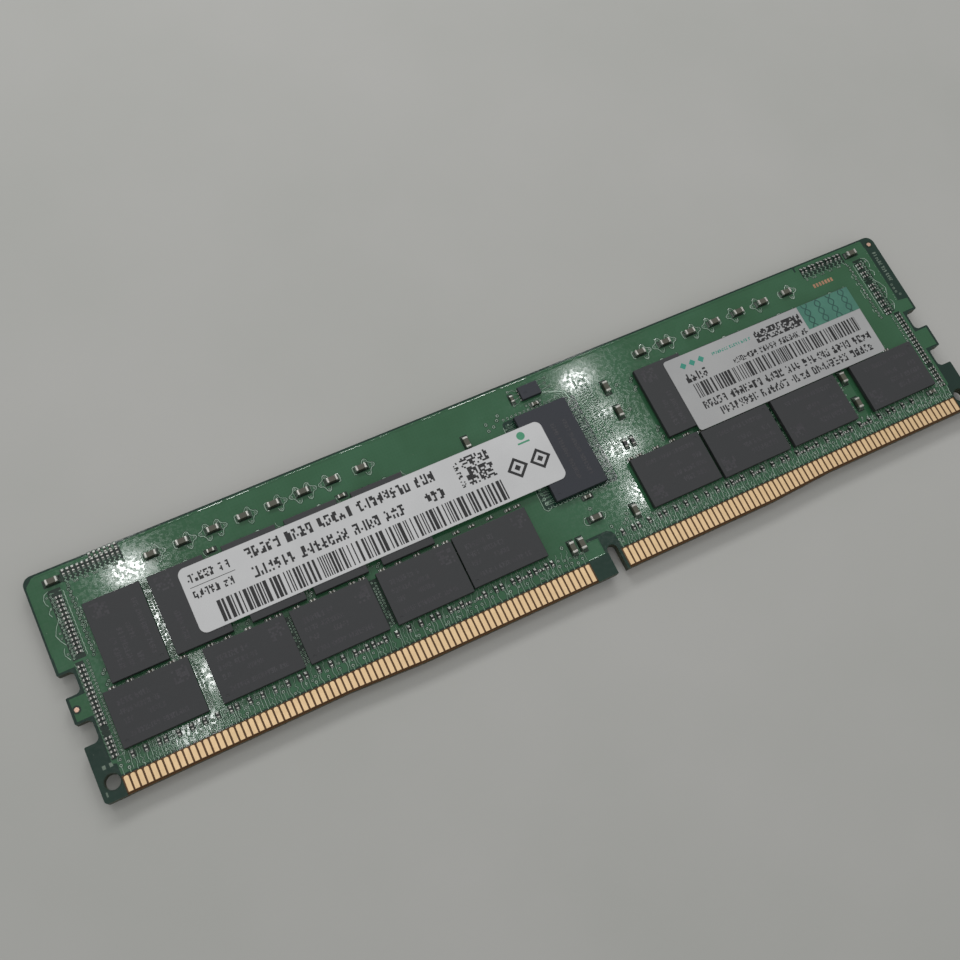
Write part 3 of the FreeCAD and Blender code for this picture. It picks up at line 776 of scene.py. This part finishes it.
# Lobes of the copper's edge beside the upper resistor column, for a column at x = 3.52.
LOBES = (
    ((2.6, 28.4), (2.0, 28.1), (1.75, 27.5), (1.8, 26.9), (2.05, 26.5)),
    ((2.3, 26.2), (1.95, 25.8), (1.8, 25.5), (2.05, 25.0)),
    ((2.7, 24.6), (2.45, 24.1), (2.0, 23.5), (1.6, 22.5), (1.95, 21.6), (2.4, 20.9)),
    ((2.05, 20.6), (1.85, 20.2), (1.8, 19.7), (2.25, 18.9)),
)
LOBES_COLUMN = 3.52
LOBE_VIAS = (27.6, 26.0, 22.6, 21.9, 19.7)
INNER_HOOKS = (19.8, 22.3, 22.75, 23.4, 24.7, 26.0)


def end_columns(copper, at, lower, upper):
    """Resistor columns of one end: dark beds, feeding tracks, via columns and the lobes beside them.
    lower and upper are the columns' distances from the end, and at takes (distance, y) to the card."""

    def path(x, *steps):
        return [at(x + shift, y) for shift, y in steps]

    copper.bed([at(x, y) for x, y in rectangle(lower - 0.52, 5.15, lower + 0.5, 18.3)])
    copper.bed([at(x, y) for x, y in rectangle(upper - 1.1, 18.6, upper + 0.65, 28.4)])
    for y in (5.25 + 0.59 * i for i in range(22)):
        copper.track(path(lower, (0.4, y), (0.7, y + 0.12), (0.95, y + 0.12)), 0.08, 0.06)
        copper.track(path(lower, (-0.4, y + 0.2), (-0.58, y + 0.3), (-0.58, y + 0.55)), 0.08, 0.06)
    for x, y in run(lower + 1.0, 5.4, 0, 0.45, 29):
        copper.via(*at(x, y), 0.15, 0.06)
    for i, y in enumerate(18.9 + 0.36 * i for i in range(26)):
        copper.via(*at(upper - 0.85 + 0.12 * (i % 2), y), 0.14, 0.0)
        if i % 3:
            copper.track(path(upper, (-0.3, y), (-0.75, y + 0.1)), 0.08, 0.0)
            copper.track(path(upper, (0.3, y), (0.7, y + 0.06)), 0.08, 0.0)
    copper.outline([at(upper + 0.82 + 0.07 * (i % 2), 18.8 + 0.3 * i) for i in range(31)], 0.12, 0.08)
    for i, y in enumerate(18.4 + 0.42 * i for i in range(24)):
        copper.via(*at(upper + 1.5 + 0.16 * (i % 2), y), 0.17, 0.09)
    for y in INNER_HOOKS:
        copper.outline(path(upper, (2.02, y - 0.2), (2.12, y), (2.02, y + 0.3)), 0.1, 0.07)
    for lobe in LOBES:
        copper.outline(path(upper - LOBES_COLUMN, *lobe), 0.12)
    for y in LOBE_VIAS:
        copper.via(*at(upper - 1.35, y), 0.15)


def corner_rows(copper, x, count, pitch):
    """Serpentines under the resistor rows of an upper corner."""
    copper.bed(rectangle(x - 0.4, 28.75, x + pitch * (count - 1) + 0.45, 30.45))
    for i in range(count):
        copper.track(meander(x + pitch * i, 28.5, 1.1, 0.16, 4), 0.1, 0.09)
        copper.via(x + pitch * (i + 0.5 * (i % 2)), 28.4, 0.15, 0.06)


# Lobed outline at the right end of a capacitor, measured from its middle, with the vias inside it,
# and the plain curve of an end without lobes.
STAR = (
    (0.3, 0.55), (0.55, 0.95), (0.83, 1.12), (1.1, 0.95), (1.16, 0.6), (1.45, 0.34), (1.85, 0.2),
    (1.98, -0.04), (1.8, -0.3), (1.42, -0.4), (1.17, -0.75), (1.06, -1.15), (0.8, -1.33), (0.55, -1.15),
    (0.42, -0.75),
)
STAR_BAR = ((1.2, 0.42), (1.16, -0.45))
STAR_VIAS = ((0.83, 0.78), (1.62, -0.03), (0.8, -1.0))
PLAIN_EDGE = ((0.8, 0.62), (1.08, 0.48), (1.14, 0.0), (1.08, -0.48), (0.8, -0.62))
STAR_SIDES = "RRBRRBLRRBRLLLR"  # right, left or both ends of each capacitor of the top row


def capacitor_breakouts(copper, capacitors):
    """Lobed outline with three vias on one or both ends of each large capacitor of the top row."""
    top_row = sorted(part for part in capacitors if part[3] > 1.2 and 27 < part[1] < 28.5)
    for (x, y, *_), sides in zip(top_row, STAR_SIDES):
        for mirror, side in ((1, "R"), (-1, "L")):
            if sides in (side, "B"):
                copper.outline(placed(STAR, x, y, mirror), 0.13, 0.13)
                copper.track(placed(STAR_BAR, x, y, mirror), 0.09, 0.05)
                copper.vias(placed(STAR_VIAS, x, y, mirror), 0.15, 0.0)
            else:
                copper.outline(placed(PLAIN_EDGE, x, y, mirror), 0.17, 0.12)


def between_packages(copper, chips, rng):
    """Vias in the gaps between packages and along the upper edges of the upright ones."""
    rows = {}
    for x, y, angle, length, width in chips:
        size_x, size_y = (width, length) if angle == 90 else (length, width)
        box = (x - size_x / 2, x + size_x / 2, y - size_y / 2, y + size_y / 2)
        rows.setdefault(angle == 90, []).append(box)
    for upright, boxes in rows.items():
        boxes.sort()
        for before, after in zip(boxes, boxes[1:]):
            gap = after[0] - before[1]
            if 0.5 < gap < 3:
                gap_vias(copper, before, after, upright, rng)
        if upright:
            for box in boxes:
                upright_edges(copper, *box)


def gap_vias(copper, before, after, upright, rng):
    """Two broken via columns between two neighbouring packages; a narrow gap between lying packages gets a
    dark patch, painted shade between them.
    """
    gap = after[0] - before[1]
    middle = (before[1] + after[0]) / 2
    low, high = max(before[2], after[2]) + 0.5, min(before[3], after[3]) - 0.3
    narrow = gap < 1.2
    # Painted shade: a dark patch fills the narrow gap between two lying packages.
    if narrow and not upright:
        copper.bed(rectangle(before[1], low, after[0], high))
    for side, shift in enumerate((-0.2, 0.22) if narrow else (-gap / 2 + 0.35, -gap / 2 + 0.75)):
        y = low + 0.2 * side
        while y < high:
            if rng.random() < 0.86:
                copper.via(middle + shift, y, 0.15, 0.05)
            y += 0.42


def upright_edges(copper, left, right, low, high):
    """Vias along the upper edge of an upright package, via pairs on its left and a hook on its right."""
    for share, radius in ((0.08, 0.15), (0.27, 0.24), (0.39, 0.24), (0.7, 0.42), (0.93, 0.18)):
        copper.via(left + (right - left) * share, high + 0.06, radius, 0.08)
    for level in (high - 0.6, high - 2.0, low + 2.2, low + 0.7):
        copper.vias(((left - 0.35, level), (left - 0.66, level - 0.34)), 0.2, 0.1)
    x = right + 0.28
    copper.outline([(x, high + 0.45), (x, high + 0.15), (x + 0.2, high - 0.2), (x + 0.45, high - 0.35)], 0.1)


# Single vias round the register as (radius, places), and the two short edges beside the key.
LOOSE_VIAS = (
    (0.24, (
        (64.3, 26.6), (64.3, 25.6), (65.2, 25.9), (66.0, 26.6), (66.4, 27.2), (80.7, 23.6), (84.4, 24.7),
        (84.4, 20.6), (81.0, 20.7), (77.6, 22.4), (72.1, 9.7), (73.7, 6.2), (65.9, 6.3),
    )),
    (0.22, (
        (76.1, 6.3), (76.5, 7.0), (75.6, 5.9), (88.9, 14.6), (88.7, 16.1), (88.8, 17.4), (89.0, 21.5),
    )),
)
LOOSE_EDGES = (
    ((71.0, 7.5), (70.55, 7.8), (70.45, 8.2), (70.6, 8.6), (71.05, 8.85)),
    ((73.2, 8.8), (73.65, 8.5), (73.8, 8.2), (73.6, 7.8), (73.2, 7.55)),
)
REGISTER_PITCH = 0.285
LADDER_PITCH = 0.42


def register_breakout(copper, rng):
    """Dense tracks and via columns on the four sides of the register."""
    left, bottom, right, top = REGISTER
    for i in range(int((top - bottom - 0.5) / REGISTER_PITCH) + 1):
        y = bottom + 0.3 + REGISTER_PITCH * i
        jog = rng.choice((-0.12, 0.0, 0.12))
        on_left = [(left - 0.05, y), (left - 0.5, y + jog), (left - 1.1, y + jog), (left - 1.35, y)]
        on_right = [(right + 0.05, y), (right + 0.4, y - jog), (right + 1.1, y - jog), (right + 1.5, y)]
        copper.track(on_left, 0.07, 0)
        copper.track(on_right, 0.07, 0)
        if i % 2:
            copper.via(left - 0.6 - 0.3 * (i % 4), y, 0.13, 0)
            copper.via(right + 0.55 + 0.3 * (i % 4), y, 0.13, 0)
    for x, y in run(left - 1.0, bottom - 0.1, 0.8, 0, 13):
        copper.outline(arc(x, y, 0.27, 180, 360, 6), 0.1, 0.07)
    corner = [(left - 1.75, top - 0.5), (left - 1.85, bottom - 0.1)]
    copper.outline([*corner, (left - 1.5, bottom - 0.5), (left - 1.1, bottom - 0.5)])
    copper.vias(run(left - 1.2, bottom + 0.5, 0.0, 0.75, 4), 0.24, 0.0)
    copper.vias(run(left - 1.2, top + 0.55, 0.66, 0, 17), 0.19, 0.06)
    for x in (right + 2.7, right + 3.45, right + 4.2):
        for i in range(rng.choice((24, 27, 30))):
            y = top + 1.7 - LADDER_PITCH * i
            if rng.random() < 0.85:
                copper.outline([(x - 0.2, y), (x + 0.2, y + rng.choice((-0.06, 0.0, 0.06)))], 0.15, 0.16)
    for x, y in run(right + 1.9, bottom + 1.15, 0.0, 0.52, 20):
        copper.track([(x, y), (x + 0.6, y)], 0.09, 0.06)
    for radius, places in LOOSE_VIAS:
        copper.vias(places, radius, 0.08)
    for edge in LOOSE_EDGES:
        copper.outline(edge, 0.12)


def sensor_breakout(copper):
    """Fan of tracks on both sides of the small sensor package."""
    left, bottom, right, top = SENSOR
    for i, y in enumerate(bottom + 0.25 + 0.5 * i for i in range(4)):
        bent = y + (i - 1.5) * 0.25
        reach = right + 1.1 + 0.3 * (i % 2)
        copper.track([(left - 0.15, y), (left - 0.7, bent), (left - 1.2, bent)])
        copper.via(left - 1.35, bent, 0.18)
        copper.track([(right + 0.15, y), (right + 0.6, bent), (reach, bent)])
        copper.via(reach + 0.15, bent, 0.18)
    bus = [(right + 0.2, bottom + 0.1), (right + 1.9, bottom - 0.4), (right + 3.2, bottom - 0.9)]
    copper.track([*bus, (right + 3.5, bottom - 2.2)], 0.3, 0.12)
    copper.vias(run(left + 0.2, bottom - 0.8, 0.55, 0, 5), 0.17)


def package_rims(copper, chips):
    """Short stubs that surface along the lower edges of the lower packages."""
    for x, y, angle, length, width in chips:
        if angle == 90:
            continue
        for stub_x, stub_y in run(x - length / 2 + 0.6, y - width / 2 - 0.12, 0.82, 0, 13):
            copper.track([(stub_x, stub_y - 0.2), (stub_x, stub_y + 0.3)], 0.09, 0.05)


def build_copper(face):
    rng = random.Random(SEED + (1 if face is FRONT else 2))
    copper = Copper(face)
    chips = memory_chips(face)
    contact_breakouts(copper, face, small_parts("resistor", face), rng)
    end_columns(copper, lambda x, y: (x, y), 3.06, 3.52)
    end_columns(copper, lambda x, y: (CARD_LENGTH - x, y), 3.38, 4.52)
    corner_rows(copper, 5.15, 12, 0.65)
    corner_rows(copper, 119.9, 10, 0.75)
    capacitor_breakouts(copper, small_parts("capacitor", face))
    between_packages(copper, chips, rng)
    register_breakout(copper, rng)
    package_rims(copper, chips)
    if face is FRONT:
        sensor_breakout(copper)
    copper.make()


# ---------------- solder and card marks


def build_solder(face):
    """Pad and concave solder joint at each end of every small part."""
    joints = Piece("solder_joints_" + face.name, face)
    clearings = Piece("pad_clearings_" + face.name, face)
    for kind in ("capacitor", "resistor"):
        for x, y, angle, length, width, height in small_parts(kind, face):
            at = turned(x, y, angle)
            reach = min(0.16 + 0.14 * height, 0.3)
            margin = 0.16 if length > 0.8 else 0.08
            half_length, half_width = length / 2 + reach + margin, width / 2 + margin
            clearing = rectangle(-half_length, -half_width, half_length, half_width)
            clearings.prism([at(u, v) for u, v in clearing], 0.0, CLEARING_TOP)
            levels = ((reach, width + 0.08, 0.0), (reach, width + 0.08, POUR + 0.02))
            levels += ((reach * 0.42, width, height * 0.34), (reach * 0.12, width * 0.86, height * 0.74))
            for end in (-1, 1):
                rings = []
                for far, across, z in levels:
                    level = rectangle(length / 2, -across / 2, length / 2 + far, across / 2)
                    rings.append([(*at(end * u, v), z) for u, v in level])
                joints.stack(rings)
    joints.make(SOLDER, "solder")
    clearings.make(GAP)


FIDUCIALS = ((0.8, 12.75), (CARD_LENGTH - 1.0, 29.95))
FIDUCIAL_WELL = 0.56
FIDUCIAL_PROFILE = ((0.32, 0.0), (0.32, POUR + 0.02), (0.31, POUR + 0.03))


def build_fiducials(face):
    """Bare copper dots in round wells."""
    dots = Piece("fiducials_" + face.name, face)
    wells = Piece("fiducial_wells_" + face.name, face)
    for x, y in FIDUCIALS:
        wells.prism(circle(x, y, FIDUCIAL_WELL, 20), 0.0, VIA_CENTRE_TOP)
        dots.stack([raised(circle(x, y, radius, 20), height) for radius, height in FIDUCIAL_PROFILE])
    wells.make(GAP)
    dots.make(COPPER, "bare_copper")


def build_card_marks(face):
    """A row of etched squares, pale ticks and collars round the corner holes: none of them letters."""
    etched = Piece("etched_squares_" + face.name, face)
    for x, y in run(120.2, 26.75, 0.52, 0, 7):
        etched.prism(rectangle(x, y, x + 0.34, y + 0.62), 0.0, TRACK_TOP)
    etched.make(ETCH_MARK, "bare_copper")
    rng = random.Random(SEED + 5)
    ticks = Print("card_ticks_" + face.name, face, 0.0, MARK_THICKNESS, turned(CARD_LENGTH - 1.1, 0.0, 90))
    ticks.stamp(text_blocks(23.2, -0.35, 28.6, 0.25, rng, 2, 4, (3, 5)))
    for x, y in run(CARD_LENGTH - 1.4, 20.7, 0.0, 0.62, 4):
        ticks.ring(x + rng.choice((0.0, 0.4)), y, 0.2, 0.1, 0.0, TICK_TOP, 10)
    for tick in ((1.15, 4.5, 1.57, 5.0), (2.05, 4.5, 2.47, 5.0), (0.5, 1.25, 0.72, 1.85)):
        ticks.prism(rectangle(*tick), 0.0, TICK_TOP)
    ticks.make(PALE_MARK)
    collars = Piece("hole_collars_" + face.name, face)
    for x in CORNER_HOLES:
        collars.ring(x, CORNER_HOLE_Y, 1.14, 1.0, 0.0, 0.014, 28)
    collars.make(GAP)


# ---------------- print


class Print(Piece):
    """Thin marks on one flat surface: place turns their own coordinates into places on the card."""

    def __init__(self, name, face, low, thickness, place):
        super().__init__(name, face)
        self.low = low
        self.high = low + thickness
        self.place = place

    def stamp(self, outlines):
        for outline in outlines:
            self.prism([self.place(u, v) for u, v in outline], self.low, self.high)


def stretches(flags):
    """First place and the place after the last of each unbroken stretch of true flags."""
    first = None
    for place, flag in enumerate([*flags, False]):
        if flag and first is None:
            first = place
        if not flag and first is not None:
            yield first, place
            first = None


def text_blocks(x0, y0, x1, y1, rng, columns=3, rows=5, spread=(3, 8)):
    """Stand-in for a printed line: words of random stems and blocks that spell nothing."""
    cell = (y1 - y0) / rows
    step = cell * 0.86
    x = x0
    left_in_word = rng.randint(*spread)
    while x + columns * step <= x1:
        stem = rng.randrange(columns)
        for column in range(columns):
            filled = [rng.random() < (0.86 if column == stem else 0.4) for _ in range(rows)]
            u = x + column * step
            for first, last in stretches(filled):
                yield rectangle(u, y0 + first * cell, u + step, y0 + last * cell)
        x += (columns + 0.8) * step
        left_in_word -= 1
        if left_in_word == 0:
            x += columns * step * 0.9
            left_in_word = rng.randint(*spread)


def stripes(x0, y0, x1, y1, rng, narrow):
    """Stand-in for a barcode: random upright bars."""
    widths = (1, 1, 1, 2, 2, 3)
    x = x0
    while x < x1:
        width = min(narrow * rng.choice(widths), x1 - x)
        yield rectangle(x, y0, x + width, y1)
        x += width + narrow * rng.choice(widths)


def code_cells(x0, y0, x1, y1, columns, rows, rng, share=0.55):
    """Stand-in for a matrix code: random cells, joined along each row."""
    step_x, step_y = (x1 - x0) / columns, (y1 - y0) / rows
    for row in range(rows):
        y = y0 + row * step_y
        for first, last in stretches([rng.random() < share for _ in range(columns)]):
            yield rectangle(x0 + first * step_x, y, x0 + last * step_x, y + step_y * 0.98)


def speckled_square(u0, v0, rng):
    """Seven by seven cells, about half of them filled."""
    for i in range(7):
        for j in range(7):
            if rng.random() < 0.5:
                u, v = u0 + i * 0.29, v0 + j * 0.3
                yield rectangle(u, v, u + 0.27, v + 0.27)


def diamond(x, y, radius):
    return [(x - radius, y), (x, y - radius), (x + radius, y), (x, y + radius)]


def label_print(name, label):
    """Empty print on a label, placed from the label's lower left corner."""
    return Print(name, FRONT, LABEL_TOP, INK_THICKNESS, turned(label[0], label[1], 0))


def build_rating_print():
    """Print of the long white label."""
    rng = random.Random(SEED + 11)
    ink = label_print("rating_label_print", RATING_LABEL)
    ink.stamp([rectangle(0.85, 6.2, 6.95, 6.28)])
    for line in (
        (0.9, 6.85, 6.9, 8.0), (0.9, 4.6, 6.9, 5.7), (8.9, 6.85, 36.0, 8.35), (8.9, 4.15, 31.2, 5.65),
        (33.6, 4.15, 37.1, 5.65),
    ):
        ink.stamp(text_blocks(*line, rng))
    ink.stamp(stripes(3.2, 0.42, 44.2, 3.4, rng, 0.16))
    ink.stamp(code_cells(40.1, 4.2, 44.2, 8.35, 16, 16, rng))
    for x, y in run(39.0, 4.3, 0, 0.65, 6):
        ink.stamp(code_cells(x, y, x + 0.65, y + 0.5, 3, 3, rng, 0.6))
    for x in (47.15, 50.65):
        ink.ring(*ink.place(x, 3.95), 1.6, 1.05, ink.low, ink.high, 4)
        ink.stamp([diamond(x, 3.95, 0.5)])
    ink.make(INK, "white_label")
    green = label_print("rating_label_green_print", RATING_LABEL)
    green.stamp([circle(49.6, 8.0, 0.6, 24), rectangle(48.7, 6.85, 50.5, 7.1)])
    green.make(GREEN_INK, "white_label")


def build_service_print():
    """Print of the shorter grey label."""
    rng = random.Random(SEED + 12)
    ink = label_print("service_label_print", SERVICE_LABEL)
    ink.stamp(text_blocks(2.0, 7.1, 6.3, 8.5, rng))
    ink.stamp(text_blocks(10.0, 7.1, 22.9, 8.0, rng))
    ink.stamp(code_cells(14.9, 8.6, 22.9, 10.5, 34, 8, rng, 0.62))
    ink.stamp(stripes(2.5, 4.4, 30.7, 6.7, rng, 0.14))
    ink.stamp(text_blocks(2.4, 2.6, 31.5, 3.8, rng))
    ink.stamp(text_blocks(4.4, 0.9, 31.5, 2.1, rng))
    ink.make(INK, "silver_label")
    teal = label_print("service_label_teal_print", SERVICE_LABEL)
    teal.stamp(diamond(x, y, 0.55) for x, y in run(2.6, 9.8, 1.5, 0, 3))
    teal.stamp(text_blocks(7.4, 9.6, 14.3, 10.05, rng, 2, 3))
    teal.make(TEAL_INK, "silver_label")


def build_patch_waves():
    """Crossing waves on the foil patch, in four pairs."""
    left, bottom, right, top = PATCH
    waves = Piece("security_patch_waves", FRONT)
    for i in range(4):
        centre = left + 1.2 + 2.17 * i
        for swing in (-0.44, 0.44):
            path = []
            for x, y in run(centre, bottom + 0.05, 0, (top - bottom - 0.1) / 32, 33):
                path.append((x + swing * math.cos(2 * math.pi * (y - bottom) / 2.5 + 1.3 * i), y))
            waves.ribbon(path, 0.2, PATCH_TOP, PATCH_TOP + INK_THICKNESS)
    waves.make(WAVE_INK, "teal_foil")


# Laser marking on a memory package, measured from its middle as (left, bottom, right, top).
PACKAGE_LINES = (
    (-4.3, 1.45, 0.2, 2.2), (-4.5, 0.25, 0.9, 0.95), (-4.4, -1.0, -3.1, -0.3), (-1.2, -1.0, 1.1, -0.3),
    (-4.1, -2.7, 3.9, -2.05),
)
PACKAGE_SQUARE = (2.9, 0.9, 5.0, 3.1)
LABEL_CLEARANCE = 0.3
LASER_WORDS = (4, 9)


def covered(place, u0, v0, u1, v1):
    """Whether an area on a front package reaches under a label."""
    spots = [place(u, v) for u in (u0, (u0 + u1) / 2, u1) for v in (v0, v1)]
    for left, bottom, right, top in (RATING_LABEL, SERVICE_LABEL):
        for x, y in spots:
            across = left - LABEL_CLEARANCE < x < right + LABEL_CLEARANCE
            if across and bottom - LABEL_CLEARANCE < y < top + LABEL_CLEARANCE:
                return True
    return False


def build_package_marks(face):
    """Faint laser marks on the package tops, left out where a label covers them."""
    rng = random.Random(SEED + 21)
    marks = Print("package_marks_" + face.name, face, PACKAGE_TOP, MARK_THICKNESS, None)
    for x, y, angle, *_ in memory_chips(face):
        marks.place = turned(x, y, angle, face.outward)
        for area in PACKAGE_LINES:
            if face is REAR or not covered(marks.place, *area):
                marks.stamp(text_blocks(*area, rng, spread=LASER_WORDS))
        if face is REAR or not covered(marks.place, *PACKAGE_SQUARE):
            marks.stamp(speckled_square(2.95, 0.95, rng))
    if face is FRONT:
        left, bottom, right, top = REGISTER
        marks.place = turned((left + right) / 2 + 0.2, (bottom + top) / 2, 90)
        for v in (0.6, 2.4):
            marks.stamp(text_blocks(-5.0, -v, 4.0, 0.6 - v, rng, spread=LASER_WORDS))
    marks.make(LASER_MARK, "memory_mould")


# ---------------- stage, lights and camera

# Lengths in this section are metres, apart from the camera's sensor and focal length in millimetres.
FLOOR_SIZE = 8.0
FLOOR_DROP = 0.02 * MM
ROOM_COLOUR = (1.0, 0.995, 0.985, 1)
ROOM_STRENGTH = (0.05, 0.64)  # at the horizon and straight up
CAMERA_PLACE = Vector((-44.93, -36.32, 151.71)) * MM
CAMERA_AIM = Vector((-6.68, 4.0, 2.5)) * MM
CAMERA_ROLL = 18.586  # degrees
SENSOR_WIDTH = 36.0
FOCAL_LENGTH = 43.44

# Small lamps a metre up: x, y, width, length, and power in watts. Each leaves one glint.
CEILING_LAMPS = (
    (-0.113, 0.331, 0.034, 0.018, 0.125),
    (-0.108, 0.270, 0.010, 0.060, 0.112),
    (-0.085, 0.200, 0.016, 0.022, 0.052),
    (-0.112, 0.160, 0.044, 0.018, 0.082),
    (0.398, 0.335, 0.028, 0.018, 0.095),
    (0.408, 0.291, 0.022, 0.010, 0.034),
    (0.406, 0.245, 0.028, 0.016, 0.092),
    (0.401, 0.193, 0.014, 0.022, 0.066),
)
CENTRE = (0.0, 0.0, 0.0)


def build_floor():
    """Pale table top under the module."""
    half = FLOOR_SIZE / 2
    mesh = bpy.data.meshes.new("floor")
    mesh.from_pydata(raised(rectangle(-half, -half, half, half), -FLOOR_DROP), [], [(0, 1, 2, 3)])
    made = Finish("table_top", specular=0.25)
    colour = made.fade(made.noise(0.02, 4.0), 0.35, 0.65, (179, 180, 176), (184, 184, 181))
    mesh.materials.append(made.dress(colour, 0.6, (made.noise(0.8, 3.0), 0.01)))
    add_object("floor", mesh)


def area_light(name, place, aim, width, height, power, shadow=True):
    """Rectangular light at a place in metres, turned towards a point."""
    data = bpy.data.lights.new(name, "AREA")
    data.shape = "RECTANGLE"
    data.size = width
    data.size_y = height
    data.energy = power
    data.use_shadow = shadow
    light = add_object(name, data)
    light.location = place
    light.rotation_euler = (Vector(aim) - Vector(place)).to_track_quat("-Z", "Y").to_euler()


def build_room():
    """Dim room, darkest at the horizon."""
    world = bpy.data.worlds.new("room")
    world.use_nodes = True
    room = Nodes(world.node_tree)
    axes = room.node("ShaderNodeSeparateXYZ")
    room.feed(axes.inputs[0], room.node("ShaderNodeTexCoord").outputs["Generated"])
    steepness = room.math("ABSOLUTE", axes.outputs["Z"])
    sky = room.tree.nodes["Background"]
    sky.inputs["Color"].default_value = ROOM_COLOUR
    room.feed(sky.inputs["Strength"], room.spread(steepness, 0.0, 1.0, *ROOM_STRENGTH))
    bpy.context.scene.world = world


def build_lights():
    """Ceiling lamps that glint off the lacquer, a shadowless strip and a soft light behind."""
    for number, (x, y, width, length, power) in enumerate(CEILING_LAMPS):
        area_light(f"ceiling_{number}", (x, y, 1.0), (x, y, 0.0), width, length, power)
    area_light("strip_back", (0.16, 0.95, 0.38), CENTRE, 0.52, 0.03, 2.2, shadow=False)
    area_light("soft_back", (0.03, 0.36, 0.36), CENTRE, 0.5, 0.12, 0.75)


def build_camera():
    """Camera at the reference viewing angle."""
    data = bpy.data.cameras.new("camera")
    data.sensor_width = SENSOR_WIDTH
    data.lens = FOCAL_LENGTH
    data.clip_start = 0.01
    data.clip_end = 10.0
    camera = add_object("camera", data)
    camera.location = CAMERA_PLACE
    turn = (CAMERA_AIM - CAMERA_PLACE).to_track_quat("-Z", "Y").to_matrix().to_4x4()
    roll = Matrix.Rotation(math.radians(CAMERA_ROLL), 4, "Z")
    camera.rotation_euler = (turn @ roll).to_euler()
    bpy.context.scene.camera = camera


dress_cad_nodes()
for face in (FRONT, REAR):
    build_pour(face)
    build_edge_bead(face)
    build_copper(face)
    build_solder(face)
    build_fiducials(face)
    build_card_marks(face)
    build_package_marks(face)
build_rating_print()
build_service_print()
build_patch_waves()
build_floor()
build_room()
build_lights()
build_camera()
bpy.context.scene.view_settings.view_transform = "Standard"
